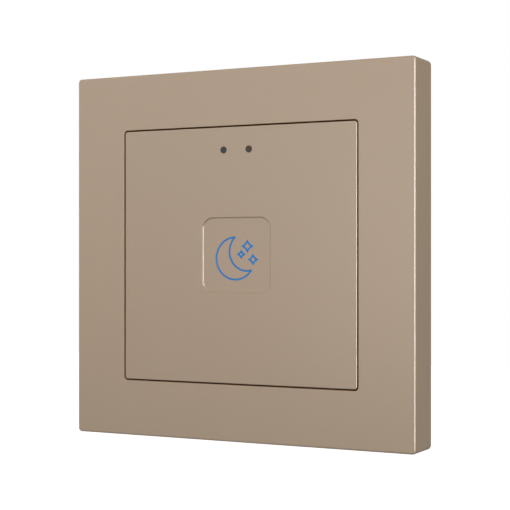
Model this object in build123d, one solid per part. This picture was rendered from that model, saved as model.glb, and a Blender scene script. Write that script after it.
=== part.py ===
"""Flush-mounted smart light switch: an 80 mm square cover frame round a 55 mm push key.

The origin is the middle of the wall surface behind the cover frame. Seen by someone who
faces the switch, +X is right and +Z is up; +Y points into the wall. Sizes are in millimetres.
"""
from build123d import *
from math import radians, sqrt, tan
import os

os.makedirs("parts", exist_ok=True)

# Cover frame: a hollow moulding that stands on the wall and ends in a retaining lip; its
# side walls lean outwards towards the wall by the draft that lets it leave its mould
FRAME_BORDER = 12.2
FRAME_DEPTH = 9.4
FRAME_DRAFT_DEG = 1.7
FRAME_CORNER_R = 0.8
FRAME_EDGE_R = 0.5
FRAME_WALL = 2.0
FRAME_SKIN = 2.0
FRAME_RIB = 1.0
FRAME_RIB_SPREAD = 30.0
FRAME_RIB_FOOT_GAP = 1.0
COLLAR_WALL = 2.2
OPENING_CORNER_R = 0.9
OPENING_EDGE_R = 0.1
LIP_THICK = 1.4
LIP_WIDTH = 2.4
LIP_RING_GAP = 0.8

# Push key: one moulding with a sunk pad in its middle and a skirt all round
KEY_SIZE = 55.0
KEY_GAP = 0.3
KEY_THICK = 2.0
KEY_CORNER_R = 0.6
KEY_EDGE_R = 0.2
KEY_SKIRT = 1.2
KEY_STOP_GAP = 0.4
KEY_RIB = 0.8
KEY_RIB_HEIGHT = 0.6
KEY_RIB_INSET = 4.0
KEY_RIB_MARGIN = 12.5
KEY_TRAVEL_DEG = 0.9
PAD_SHARE = 0.295
PAD_CORNER_R = 2.5
PAD_DEPTH = 0.4
PAD_FLOOR_R = 0.25
PAD_RIM_R = 0.12
PAD_WEB = 0.6

# Hinge at the key's upper edge: pins in the key's ears turn in brackets on the carrier
HINGE_DROP = 2.9
HINGE_PIN_R = 0.75
HINGE_PLAY = 0.07
HINGE_ROUND_R = 1.1
HINGE_SIDE_GAP = 2.5
EAR_WIDTH = 1.2
BRACKET_WIDTH = 2.5
EAR_BRACKET_GAP = 0.3

# Snap arms at the key's lower edge, which stop it from swinging out
SNAP_WIDTH = 4.0
SNAP_THICK = 0.8
SNAP_WALL_GAP = 0.4
SNAP_BARB = 1.1
SNAP_BARB_HEIGHT = 0.8
SNAP_PLAY = 0.1
SNAP_ROOM = 0.5

# Light guide behind the pad, and the shroud that screens its lamps
GUIDE_INSET = 1.25
GUIDE_CORNER_R = 2.0
GUIDE_FIT = 0.1
GUIDE_SHOULDER = 1.0
GUIDE_LED_GAP = 1.1
GUIDE_CUFF_WALL = 0.8
GUIDE_CUFF_HEIGHT = 0.9
SHROUD_WALL = 1.0
SHROUD_PLAY = 1.1
SHROUD_CUFF_GAP = 0.7

# Two round windows in a row above the pad: the status lamp's and the light sensor's
WINDOW_R = 0.75
WINDOW_SPREAD = 6.0
WINDOW_DROP = 4.9
WINDOW_SUNK = 0.05
WINDOW_FIT = 0.03
WINDOW_FLANGE_R = 1.3
WINDOW_FLANGE = 0.6
WINDOW_LED_GAP = 0.7

# Carrier tray: clips to the support ring, clamps the frame's lip and holds the front board
CARRIER_CLEAR = 0.3
CARRIER_WALL = 1.2
CARRIER_BASE = 1.4
CARRIER_CORNER_R = 1.5
RIM_THICK = 1.4
RIM_CLEAR = 0.6
POST_R = 2.0
HOOK_SPREAD = 24.0
HOOK_WIDTH = 5.0
HOOK_THICK = 1.2
HOOK_CATCH = 1.1
HOOK_FIT = 0.3
HOOK_PLAY = 0.1
HOOK_NOSE = 1.2

# Front circuit board and what is on it
FRONT_BOARD_THICK = 1.0
FRONT_BOARD_STANDOFF = 0.4
FRONT_BOARD_CLEAR = 0.2
BOARD_SCREW_EDGE_X = 3.3
BOARD_SCREW_EDGE_Z = 5.8
BOARD_SCREW_R = 1.0
BOARD_SCREW_HEAD_R = 1.9
BOARD_SCREW_HEAD = 1.2
BOARD_SCREW_ROUND_R = 0.6
BOARD_SCREW_RECESS = 0.6
BOARD_SCREW_BITE = 1.4
BOARD_SCREW_HOLE_PLAY = 0.2
TACT_WALL_GAP = 8.0
TACT_SIZE = 6.0
TACT_BODY_HEIGHT = 2.0
TACT_BODY_EDGE = 0.4
TACT_PLUNGER_R = 1.75
TACT_PLUNGER_FIT = 0.1
TACT_PLUNGER_PROUD = 0.7
TACT_PLUNGER_HIDDEN = 0.9
TACT_STROKE_ROOM = 0.6
TACT_PUSH_GAP = 0.1
TACT_PUSH_R = 1.5
LED_LENGTH = 2.0
LED_WIDTH = 1.25
LED_HEIGHT = 0.7
LED_LENS_INSET = 0.2
LED_SPREAD = 6.0
RADIO_LENGTH = 18.0
RADIO_WIDTH = 11.0
RADIO_SIDE_GAP = 6.3
RADIO_EDGE_GAP = 2.2
RADIO_BOARD = 0.8
RADIO_CAN_LENGTH = 12.0
RADIO_CAN_MARGIN = 0.7
RADIO_CAN_HEIGHT = 1.2
RADIO_CAN_R = 0.4
CHIP_SIZE = 6.0
CHIP_HEIGHT = 0.9
CHIP_SIDE_GAP = 8.8
CHIP_EDGE_GAP = 6.8

# Plug-in link from the front board to the power board
LINK_X = 0.0
LINK_BLOCK_GAP = 2.2
LINK_WAYS = 8
LINK_PITCH = 2.54
LINK_PIN = 0.64
LINK_PIN_PLAY = 0.13
SOCKET_HEIGHT = 5.1
SOCKET_WIDTH = 2.5
HEADER_HEIGHT = 2.5
HEADER_PIN_REACH = 4.0
HEADER_PIN_TAIL = 0.8
SOCKET_WELL_ROOM = 0.8
LINK_CUT_CLEAR = 0.5

# Support ring: steel sheet that is screwed to the wall box and lies on the wall
RING_EDGE_WEB = 1.5
RING_SHEET = 1.0
RING_CORNER_R = 7.0
RING_LEDGE = 4.5
RING_OPENING_R = 3.0
BOX_SCREW_SPACING = 60.0
BOX_SLOT_R = 1.8
BOX_SLOT_LENGTH = 6.0
BOX_SCREW_HEAD_R = 3.5
BOX_SCREW_HEAD_PLAY = 0.6
BOX_SCREW_HEAD_HEIGHT = 2.9
PLUG_HOLE_R = 1.6
PLUG_HOLE_SPREAD = 54.0

# Insert: a shell that fits a 60 mm round wall box, closed by a cover behind the ring
INSERT_SIZE = 46.0
INSERT_BULGE = 5.0
INSERT_DEPTH = 26.0
INSERT_WALL = 1.5
INSERT_EDGE_R = 1.0
INSERT_COVER_THICK = 1.4
POCKET_WALL = 1.0
HOUSING_SCREW_EDGE = 1.7
HOUSING_SCREW_RIM = 3.05
HOUSING_SCREW_R = 1.1
HOUSING_SCREW_RECESS = 0.55
HOUSING_SCREW_HEAD_R = 2.2
HOUSING_SCREW_LENGTH = 9.0
HOUSING_SCREW_HOLE_PLAY = 0.15
HOUSING_BOSS_R = 2.2
HOUSING_BOSS_DEPTH = 12.0
BOARD_REST_LENGTH = 6.0
BOARD_REST_WIDTH = 1.0
COVER_POST_R = 1.5
COVER_POST_SPREAD = 32.0

# Outside of the insert: a sunk field with collared driver holes, a groove that shows how much
# wire to strip, and flutes that give a grip on the side walls
FIELD_SUNK = 0.5
FIELD_MARGIN = 1.2
FIELD_LOW_MARGIN = 0.6
FIELD_CORNER_R = 1.5
DRIVER_COLLAR = 0.8
STRIP_GAUGE_LENGTH = 8.0
STRIP_GAUGE_WIDTH = 2.2
STRIP_GAUGE_SUNK = 0.4
STRIP_GAUGE_GAP = 3.0
FLUTE_R = 0.6
FLUTE_COUNT = 5
FLUTE_PITCH = 3.0
FLUTE_END_GAP = 4.0

# Power board and the parts behind it; each place is given in shares of the insert's size
POWER_BOARD_Y = 5.0
POWER_BOARD_THICK = 1.6
POWER_BOARD_CLEAR = 0.2
RELAY_AT = (-0.217, 0.185)
TRANSFORMER_AT = (0.185, 0.228)
CAPACITOR_AT = (0.337, -0.098)
FUSE_AT = (0.12, -0.076)
VARISTOR_AT = (-0.098, -0.141)
CHOKE_AT = (-0.304, -0.141)
RELAY_WIDTH = 15.0
RELAY_LENGTH = 19.0
RELAY_HEIGHT = 15.0
RELAY_WALL = 0.7
RELAY_BASE = 1.8
BOBBIN_SIZE = 9.0
BOBBIN_LENGTH = 11.2
BOBBIN_FLANGE = 0.8
BOBBIN_TUBE_R = 2.2
WINDING_R = 4.0
CORE_R = 1.5
YOKE_THICK = 1.0
YOKE_WIDTH = 8.6
YOKE_GAP = 0.3
POLE_R = 2.6
POLE_THICK = 0.5
ARMATURE_THICK = 1.0
ARMATURE_WIDTH = 8.0
ARMATURE_CLOSED_GAP = 0.1
ARMATURE_EDGE_GAP = 0.3
ARMATURE_TRAVEL_DEG = 4.0
CONTACT_R = 0.9
CONTACT_THICK = 0.4
CONTACT_GAP = 0.1
CONTACT_BLADE = 0.4
CONTACT_BLADE_WIDTH = 2.4
CONTACT_RISE = 1.6
TRANSFORMER_SIZE = 13.0
TRANSFORMER_HEIGHT = 12.0
TRANSFORMER_LEG = 2.4
TRANSFORMER_DEPTH = 6.0
TRANSFORMER_FOOT = 1.5
CAPACITOR_R = 4.0
CAPACITOR_HEIGHT = 13.0
CAPACITOR_ROLL_R = 0.6
CAPACITOR_ROLL_RISE = 2.4
FUSE_R = 4.2
FUSE_HEIGHT = 8.0
FUSE_EDGE_R = 0.6
VARISTOR_R = 3.8
VARISTOR_THICK = 3.2
VARISTOR_EDGE_R = 1.0
VARISTOR_STANDOFF = 1.0
WIRE_R = 0.35
LEAD_SPREAD = 4.0
CHOKE_R = 3.6
CHOKE_HEIGHT = 7.5
CHOKE_WAIST_R = 2.7
CHOKE_FLANGE = 1.0

# Screw terminals: a cage rises to the screw's head and presses the wire to a fixed bar
TERMINALS = ("line", "neutral", "load")
TERMINAL_PITCH = 11.0
BLOCK_FRONT_WALL = 1.0
BLOCK_TOP_WALL = 1.4
BLOCK_BOTTOM_WALL = 0.9
BLOCK_SIDE_WALL = 0.7
BLOCK_SEAT = 0.6
CAGE_WIDTH = 7.0
CAGE_LENGTH = 6.0
CAGE_WALL = 0.8
CAGE_FLOOR = 1.2
CAGE_TOP = 1.5
CAGE_PLAY = 0.2
CAGE_TRAVEL = 1.8
CAGE_TIP_GAP = 1.5
WIRE_SPACE = 3.2
WIRE_ENTRY_WIDTH = 3.6
WIRE_ENTRY_HEIGHT = 3.0
BUSBAR_THICK = 1.0
BUSBAR_WIDTH = 5.2
BUSBAR_TAIL_WIDTH = 2.4
BUSBAR_TAIL_THICK = 0.8
BUSBAR_TAIL_PROUD = 0.6
SCREW_R = 1.7
SCREW_PLAY = 0.1
SCREW_HEAD_R = 2.6
SCREW_HEAD = 1.4
SCREW_HEAD_PLAY = 0.2
SCREW_HEAD_EDGE_R = 0.25
SCREW_SLOT = 0.8
SCREW_SLOT_DEPTH = 0.8

# Widths that follow from the ones above, from the key outwards and then inwards
OPENING_SIZE = KEY_SIZE + 2 * KEY_GAP
FRAME_SIZE = OPENING_SIZE + 2 * FRAME_BORDER
COLLAR_SIZE = OPENING_SIZE + 2 * COLLAR_WALL
LIP_OPENING = OPENING_SIZE - 2 * LIP_WIDTH
RIM_SIZE = OPENING_SIZE - 2 * RIM_CLEAR
CARRIER_SIZE = LIP_OPENING - 2 * CARRIER_CLEAR
CARRIER_INSIDE = CARRIER_SIZE - 2 * CARRIER_WALL
HINGE_SPREAD = CARRIER_INSIDE - 2 * HINGE_SIDE_GAP
SNAP_SPREAD = CARRIER_INSIDE / 2
SNAP_OUTER_Z = -(CARRIER_INSIDE / 2 - SNAP_WALL_GAP)
SNAP_INNER_Z = SNAP_OUTER_Z + SNAP_THICK
TACT_SPREAD = CARRIER_INSIDE - 2 * TACT_WALL_GAP
KEY_RIB_SPREAD_X = TACT_SPREAD - 2 * KEY_RIB_INSET
KEY_RIB_SPREAD_Z = KEY_SIZE - 2 * KEY_RIB_MARGIN
WINDOW_RISE = KEY_SIZE / 2 - WINDOW_DROP
PAD_SIZE = PAD_SHARE * KEY_SIZE
GUIDE_SIZE = PAD_SIZE - 2 * GUIDE_INSET
GUIDE_STEM = GUIDE_SIZE - 2 * GUIDE_SHOULDER

# Places on the front board
FRONT_BOARD_SIZE = CARRIER_INSIDE - 2 * FRONT_BOARD_CLEAR
BOARD_SCREW_SPREAD_X = FRONT_BOARD_SIZE - 2 * BOARD_SCREW_EDGE_X
BOARD_SCREW_SPREAD_Z = FRONT_BOARD_SIZE - 2 * BOARD_SCREW_EDGE_Z
RADIO_X = -(FRONT_BOARD_SIZE / 2 - RADIO_SIDE_GAP - RADIO_LENGTH / 2)
RADIO_Z = -(FRONT_BOARD_SIZE / 2 - RADIO_EDGE_GAP - RADIO_WIDTH / 2)
CHIP_X = FRONT_BOARD_SIZE / 2 - CHIP_SIDE_GAP - CHIP_SIZE / 2
CHIP_Z = -(FRONT_BOARD_SIZE / 2 - CHIP_EDGE_GAP - CHIP_SIZE / 2)

# Ring and insert: the housing screws stand inside the insert's flat and round walls
RING_SIZE = BOX_SCREW_SPACING + BOX_SLOT_LENGTH + 2 * RING_EDGE_WEB
RING_OPENING = INSERT_SIZE - 2 * RING_LEDGE
INSERT_DIAMETER = INSERT_SIZE + 2 * INSERT_BULGE
HOUSING_SCREW_X = INSERT_SIZE / 2 - HOUSING_SCREW_EDGE
HOUSING_SCREW_Z = sqrt((INSERT_DIAMETER / 2 - HOUSING_SCREW_RIM) ** 2 - HOUSING_SCREW_X ** 2)

# Terminal block and link: the block reaches the nearer of the flat and the round wall
BLOCK_WIDTH = (len(TERMINALS) - 1) * TERMINAL_PITCH + CAGE_WIDTH + 2 * (CAGE_PLAY + BLOCK_SIDE_WALL)
ROUND_WALL_Z = sqrt((INSERT_DIAMETER / 2 - INSERT_WALL) ** 2 - (BLOCK_WIDTH / 2) ** 2)
BLOCK_BOTTOM_Z = -min(INSERT_SIZE / 2 - INSERT_WALL, ROUND_WALL_Z)
TERMINAL_Z = BLOCK_BOTTOM_Z + BLOCK_BOTTOM_WALL + CAGE_PLAY + CAGE_LENGTH / 2
BLOCK_TOP_Z = TERMINAL_Z + CAGE_LENGTH / 2 + CAGE_PLAY + BLOCK_TOP_WALL
LINK_Z = BLOCK_TOP_Z + LINK_BLOCK_GAP
LINK_LENGTH = LINK_WAYS * LINK_PITCH

# Places on the power board
RELAY_X, RELAY_Z = [share * INSERT_SIZE for share in RELAY_AT]
TRANSFORMER_X, TRANSFORMER_Z = [share * INSERT_SIZE for share in TRANSFORMER_AT]
CAPACITOR_X, CAPACITOR_Z = [share * INSERT_SIZE for share in CAPACITOR_AT]
FUSE_X, FUSE_Z = [share * INSERT_SIZE for share in FUSE_AT]
VARISTOR_X, VARISTOR_Z = [share * INSERT_SIZE for share in VARISTOR_AT]
CHOKE_X, CHOKE_Z = [share * INSERT_SIZE for share in CHOKE_AT]

# Depths along Y, from the wall forwards and then into the wall
WALL_Y = 0.0
FRONT_Y = WALL_Y - FRAME_DEPTH
RING_FRONT_Y = WALL_Y - RING_SHEET
BASE_FRONT_Y = RING_FRONT_Y - CARRIER_BASE
LIP_BACK_Y = RING_FRONT_Y - LIP_RING_GAP
LIP_FRONT_Y = LIP_BACK_Y - LIP_THICK
RIM_FRONT_Y = LIP_FRONT_Y - RIM_THICK
FRONT_BOARD_BACK_Y = BASE_FRONT_Y - FRONT_BOARD_STANDOFF
FRONT_BOARD_Y = FRONT_BOARD_BACK_Y - FRONT_BOARD_THICK
SKIN_BACK_Y = FRONT_Y + FRAME_SKIN
KEY_BACK_Y = FRONT_Y + KEY_THICK
HINGE_Y = (KEY_BACK_Y + RIM_FRONT_Y) / 2
HINGE_Z = KEY_SIZE / 2 - HINGE_DROP
KEY_DROP = radians(KEY_TRAVEL_DEG) * (HINGE_Z + KEY_SIZE / 2)
SKIRT_BACK_Y = RIM_FRONT_Y - KEY_DROP - KEY_STOP_GAP
PAD_FLOOR_Y = FRONT_Y + PAD_DEPTH
GUIDE_FRONT_Y = PAD_FLOOR_Y + PAD_WEB
LED_TOP_Y = FRONT_BOARD_Y - LED_HEIGHT
GUIDE_BACK_Y = LED_TOP_Y - GUIDE_LED_GAP
CUFF_BACK_Y = KEY_BACK_Y + GUIDE_CUFF_HEIGHT
SHROUD_FRONT_Y = CUFF_BACK_Y + SHROUD_CUFF_GAP
TACT_BODY_FRONT_Y = FRONT_BOARD_Y - TACT_BODY_HEIGHT
TACT_TIP_Y = TACT_BODY_FRONT_Y - TACT_PLUNGER_PROUD
SOCKET_BACK_Y = FRONT_BOARD_BACK_Y + SOCKET_HEIGHT
COVER_BACK_Y = WALL_Y + INSERT_COVER_THICK
INSERT_BACK_Y = WALL_Y + INSERT_DEPTH
CAVITY_BACK_Y = INSERT_BACK_Y - INSERT_WALL
HEADER_FRONT_Y = POWER_BOARD_Y - HEADER_HEIGHT
PARTS_Y = POWER_BOARD_Y + POWER_BOARD_THICK

# Terminal depths, from the housing's rear wall forwards
HEAD_BACK_Y = CAVITY_BACK_Y - SCREW_HEAD_PLAY / 2
HEAD_FRONT_Y = HEAD_BACK_Y - SCREW_HEAD
CHAMBER_BACK_Y = HEAD_FRONT_Y - SCREW_PLAY - BLOCK_SEAT
CAGE_BACK_Y = CHAMBER_BACK_Y - SCREW_PLAY - CAGE_TRAVEL
BUSBAR_BACK_Y = CAGE_BACK_Y - CAGE_TOP - CAGE_TIP_GAP
BUSBAR_FRONT_Y = BUSBAR_BACK_Y - BUSBAR_THICK
CAGE_FLOOR_Y = BUSBAR_FRONT_Y - WIRE_SPACE
CAGE_FRONT_Y = CAGE_FLOOR_Y - CAGE_FLOOR
CHAMBER_FRONT_Y = CAGE_FRONT_Y - CAGE_PLAY
BLOCK_FRONT_Y = CHAMBER_FRONT_Y - BLOCK_FRONT_WALL

# Relay: the coil stands on the yoke's foot, and the armature closes on its pole
COIL_Y = PARTS_Y + RELAY_BASE + BOBBIN_SIZE / 2
COIL_LOW_Z = RELAY_Z - RELAY_LENGTH / 2 + RELAY_WALL + YOKE_THICK + 2 * YOKE_GAP
COIL_HIGH_Z = COIL_LOW_Z + BOBBIN_LENGTH
YOKE_FRONT_Y = COIL_Y + BOBBIN_SIZE / 2 + YOKE_GAP
YOKE_BACK_Y = YOKE_FRONT_Y + YOKE_THICK
POLE_Z = COIL_HIGH_Z + POLE_THICK
ARMATURE_PIVOT_Y = YOKE_BACK_Y - YOKE_THICK / 2
POLE_REACH = ARMATURE_PIVOT_Y - (COIL_Y - POLE_R)
ARMATURE_Z = POLE_Z + radians(ARMATURE_TRAVEL_DEG) * POLE_REACH + ARMATURE_CLOSED_GAP
ARMATURE_PIVOT_Z = ARMATURE_Z - ARMATURE_EDGE_GAP - YOKE_THICK / 2
ARMATURE_FRONT_Y = COIL_Y - BOBBIN_SIZE / 2 + CONTACT_BLADE
CONTACT_Y = ARMATURE_FRONT_Y + CONTACT_RISE


def facing(y):
    """Sketch plane at depth y as seen from the room: right is +X and up is +Z."""
    return Plane(origin=(0, y, 0), x_dir=(1, 0, 0), z_dir=(0, -1, 0))


def prism(outline, front, back):
    """Solid with a flat outline, from the depth front to the deeper depth back."""
    return extrude(facing(back) * outline, amount=back - front)


def peg(radius, front, back, x=0, z=0):
    """Round rod along Y."""
    return prism(Pos(x, z) * Circle(radius), front, back)


def cross_rod(radius, left, right, y, z):
    """Round rod along X."""
    section = Plane(origin=(left, y, z), x_dir=(0, 1, 0), z_dir=(1, 0, 0))
    return extrude(section * Circle(radius), amount=right - left)


def upright_rod(radius, low, high, x, y):
    """Round rod along Z."""
    return extrude(Plane.XY.offset(low) * Pos(x, y) * Circle(radius), amount=high - low)


def block(x_span, y_span, z_span):
    """Rectangular solid between pairs of limits on each axis."""
    spans = (x_span, y_span, z_span)
    middle = [(low + high) / 2 for low, high in spans]
    return Pos(*middle) * Box(*[high - low for low, high in spans])


def about(centre, size):
    """Limits of a length that is centred on a place."""
    return (centre - size / 2, centre + size / 2)


def square(size, radius):
    """Rounded square outline on the axis of the switch."""
    return RectangleRounded(size, size, radius)


def pair(spread):
    """Two places either side of the middle."""
    return (-spread / 2, spread / 2)


def corners(spread_x, spread_z):
    """The four corners of a rectangle on the axis of the switch."""
    return [(x, z) for x in pair(spread_x) for z in pair(spread_z)]


def inner_edges(solid, y, reach):
    """Edges at the depth y that stay within a reach of the axis of the switch."""
    level = solid.edges().filter_by_position(Axis.Y, y - 0.001, y + 0.001)
    return level.filter_by(lambda edge: max(abs(edge.center().X), abs(edge.center().Z)) < reach)


def frame_spread(depth):
    """How much further out the frame's side wall stands at a depth behind its front."""
    return depth * tan(radians(FRAME_DRAFT_DEG))


def drafted_block(size, front):
    """Rounded square from a depth back to the wall, with the frame's draft on its sides."""
    spread = frame_spread(FRAME_DEPTH)
    outline = square(size + 2 * spread, FRAME_CORNER_R + spread)
    return extrude(facing(WALL_Y) * outline, amount=WALL_Y - front, taper=FRAME_DRAFT_DEG)


def cover_frame():
    """Hollow frame: outer wall, front skin, collar round the opening, lip and ribs."""
    shell = drafted_block(FRAME_SIZE, FRONT_Y)
    shell = fillet(shell.edges().group_by(Axis.Y)[0], FRAME_EDGE_R)
    shell -= drafted_block(FRAME_SIZE - 2 * FRAME_WALL, SKIN_BACK_Y)
    shell += prism(square(COLLAR_SIZE, OPENING_CORNER_R + COLLAR_WALL), SKIN_BACK_Y, LIP_BACK_Y)
    rib_length = (FRAME_SIZE - FRAME_WALL - COLLAR_SIZE) / 2
    rib_middle = (FRAME_SIZE - FRAME_WALL + COLLAR_SIZE) / 4
    rib_depth = about((SKIN_BACK_Y + RING_FRONT_Y - FRAME_RIB_FOOT_GAP) / 2,
                      RING_FRONT_Y - FRAME_RIB_FOOT_GAP - SKIN_BACK_Y)
    for side in range(4):
        for along in pair(FRAME_RIB_SPREAD):
            rib = block(about(rib_middle, rib_length), rib_depth, about(along, FRAME_RIB))
            shell += Rot(0, 90 * side, 0) * rib
    shell -= prism(square(OPENING_SIZE, OPENING_CORNER_R), FRONT_Y, LIP_FRONT_Y)
    shell -= prism(square(LIP_OPENING, OPENING_CORNER_R), LIP_FRONT_Y, LIP_BACK_Y)
    rim = inner_edges(shell, FRONT_Y, OPENING_SIZE / 2 + FRAME_EDGE_R)
    shell = fillet(rim, OPENING_EDGE_R)
    head_room = BOX_SCREW_HEAD_R + BOX_SCREW_HEAD_PLAY
    head_depth = (RING_FRONT_Y - BOX_SCREW_HEAD_HEIGHT, LIP_BACK_Y)
    for x in pair(BOX_SCREW_SPACING):
        shell -= peg(head_room, *head_depth, x, 0)
    notch_span = (-BOX_SCREW_SPACING / 2, BOX_SCREW_SPACING / 2)
    return shell - block(notch_span, head_depth, about(0, 2 * head_room))


def key_skin():
    """Key face with its sunk pad, plus the skirt behind its four edges."""
    key = prism(square(KEY_SIZE, KEY_CORNER_R), FRONT_Y, SKIRT_BACK_Y)
    key = fillet(key.edges().group_by(Axis.Y)[0], KEY_EDGE_R)
    inside = KEY_SIZE - 2 * KEY_SKIRT
    key -= prism(square(inside, KEY_CORNER_R), KEY_BACK_Y, SKIRT_BACK_Y)
    key -= prism(square(PAD_SIZE, PAD_CORNER_R), FRONT_Y, PAD_FLOOR_Y)
    key = fillet(inner_edges(key, PAD_FLOOR_Y, PAD_SIZE), PAD_FLOOR_R)
    return fillet(inner_edges(key, FRONT_Y, PAD_SIZE), PAD_RIM_R)


def hinge_lug(left, width, root_y):
    """Rounded lug about the hinge axis, down to a root at the given depth."""
    lug = cross_rod(HINGE_ROUND_R, left, left + width, HINGE_Y, HINGE_Z)
    root = tuple(sorted((root_y, HINGE_Y)))
    return lug + block((left, left + width), root, about(HINGE_Z, 2 * HINGE_ROUND_R))


def ear_left_side(side):
    """Where an ear starts on X: the outer faces of the ears are HINGE_SPREAD apart."""
    return HINGE_SPREAD / 2 - EAR_WIDTH if side > 0 else -HINGE_SPREAD / 2


def bracket_left_side(side):
    """Where a bracket starts on X, one gap inside its ear."""
    inner = HINGE_SPREAD / 2 - EAR_WIDTH - EAR_BRACKET_GAP - BRACKET_WIDTH
    return inner if side > 0 else -inner - BRACKET_WIDTH


def snap_arm(x):
    """Arm with a barb that hooks behind the carrier's lower wall."""
    barb_front = BASE_FRONT_Y - SNAP_BARB_HEIGHT
    barb_back = barb_front + SNAP_BARB_HEIGHT
    across = about(x, SNAP_WIDTH)
    arm = block(across, (KEY_BACK_Y, barb_back), (SNAP_OUTER_Z, SNAP_INNER_Z))
    barb = block(across, (barb_front, barb_back), (SNAP_OUTER_Z - SNAP_BARB, SNAP_OUTER_Z))
    lead_in = barb.edges().filter_by(Axis.X).group_by(Axis.Y)[-1].sort_by(Axis.Z)[0]
    return arm + chamfer(lead_in, SNAP_BARB_HEIGHT / 2)


def key_plate():
    """Push key: face, pad, stiffening ribs, light guide cuff, ears and snap arms."""
    key = key_skin()
    reach = KEY_SIZE / 2 - KEY_SKIRT
    rib_back = KEY_BACK_Y + KEY_RIB_HEIGHT
    rib_end = HINGE_Z - 2 * HINGE_ROUND_R
    for z in pair(KEY_RIB_SPREAD_Z):
        key += block((-reach, reach), (KEY_BACK_Y, rib_back), about(z, KEY_RIB))
    for x in pair(KEY_RIB_SPREAD_X):
        key += block(about(x, KEY_RIB), (KEY_BACK_Y, rib_back), (-rib_end, rib_end))
    cuff = square(GUIDE_SIZE + 2 * GUIDE_CUFF_WALL, GUIDE_CORNER_R + GUIDE_CUFF_WALL)
    key += prism(cuff, KEY_BACK_Y, CUFF_BACK_Y)
    key -= prism(square(GUIDE_SIZE, GUIDE_CORNER_R), GUIDE_FRONT_Y, CUFF_BACK_Y)
    for x in pair(TACT_SPREAD):
        key += peg(TACT_PUSH_R, KEY_BACK_Y, TACT_TIP_Y - TACT_PUSH_GAP, x, 0)
    for side in (-1, 1):
        key += hinge_lug(ear_left_side(side), EAR_WIDTH, KEY_BACK_Y)
    key -= cross_rod(HINGE_PIN_R, -HINGE_SPREAD, HINGE_SPREAD, HINGE_Y, HINGE_Z)
    for x in pair(SNAP_SPREAD):
        key += snap_arm(x)
    for x in pair(WINDOW_SPREAD):
        key -= peg(WINDOW_R + WINDOW_FIT, FRONT_Y, KEY_BACK_Y, x, WINDOW_RISE)
    return key


def hinge_pins():
    """Two steel pins, fast in the key's ears."""
    pins = []
    for side in (-1, 1):
        inner = HINGE_SPREAD / 2 - EAR_WIDTH - EAR_BRACKET_GAP - BRACKET_WIDTH
        outer = HINGE_SPREAD / 2
        left, right = sorted((side * inner, side * outer))
        pins.append(cross_rod(HINGE_PIN_R, left, right, HINGE_Y, HINGE_Z))
    return pins


def symbol_light_guide():
    """Clear block with a shoulder in the key's cuff and a stem towards the lamps."""
    fit = 2 * GUIDE_FIT
    shoulder_back = CUFF_BACK_Y - GUIDE_FIT
    guide = prism(square(GUIDE_SIZE - fit, GUIDE_CORNER_R), GUIDE_FRONT_Y, shoulder_back)
    return guide + prism(square(GUIDE_STEM, GUIDE_CORNER_R), shoulder_back, GUIDE_BACK_Y)


def window_plug(x):
    """Round light pipe, flanged behind the key, that ends over its lamp or sensor."""
    plug = peg(WINDOW_R, FRONT_Y + WINDOW_SUNK, LED_TOP_Y - WINDOW_LED_GAP, x, WINDOW_RISE)
    return plug + peg(WINDOW_FLANGE_R, KEY_BACK_Y, KEY_BACK_Y + WINDOW_FLANGE, x, WINDOW_RISE)


def light_shroud():
    """Square tube on the front board that keeps the lamps' light in the guide."""
    inside = GUIDE_STEM + 2 * SHROUD_PLAY
    outside = inside + 2 * SHROUD_WALL
    tube = prism(square(outside, GUIDE_CORNER_R + SHROUD_WALL), SHROUD_FRONT_Y, FRONT_BOARD_Y)
    return tube - prism(square(inside, GUIDE_CORNER_R), SHROUD_FRONT_Y, FRONT_BOARD_Y)


def snap_recess(x, front, back):
    """Room for a snap arm from the inside of the carrier's lower wall inwards."""
    across = about(x, SNAP_WIDTH + 2 * SNAP_ROOM)
    return block(across, (front, back), (-CARRIER_INSIDE / 2, SNAP_INNER_Z + SNAP_ROOM))


def front_circuit_board():
    """Square board with screw holes, and notches for the key's snap arms."""
    board = prism(square(FRONT_BOARD_SIZE, CARRIER_CORNER_R), FRONT_BOARD_Y, FRONT_BOARD_BACK_Y)
    for x, z in corners(BOARD_SCREW_SPREAD_X, BOARD_SCREW_SPREAD_Z):
        hole = BOARD_SCREW_R + BOARD_SCREW_HOLE_PLAY
        board -= peg(hole, FRONT_BOARD_Y, FRONT_BOARD_BACK_Y, x, z)
    for x in pair(SNAP_SPREAD):
        board -= snap_recess(x, FRONT_BOARD_Y, FRONT_BOARD_BACK_Y)
    return board


def cross_recess(radius, depth, width, y, x, z, inward):
    """Cross-shaped driver recess in a screw head whose outer face is at y."""
    span = tuple(sorted((y, y + inward * depth)))
    upright = block(about(x, width), span, about(z, 2 * radius))
    return upright + block(about(x, 2 * radius), span, about(z, width))


def board_screws():
    """Pan-head screws that hold the front board to the carrier's posts."""
    screws = []
    for x, z in corners(BOARD_SCREW_SPREAD_X, BOARD_SCREW_SPREAD_Z):
        head_front = FRONT_BOARD_Y - BOARD_SCREW_HEAD
        head = peg(BOARD_SCREW_HEAD_R, head_front, FRONT_BOARD_Y, x, z)
        head = fillet(head.edges().group_by(Axis.Y)[0], BOARD_SCREW_ROUND_R)
        shank = peg(BOARD_SCREW_R, FRONT_BOARD_Y, FRONT_BOARD_BACK_Y + BOARD_SCREW_BITE, x, z)
        recess = BOARD_SCREW_RECESS
        screws.append(head + shank - cross_recess(BOARD_SCREW_R, recess, recess, head_front, x, z, 1))
    return screws


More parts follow.
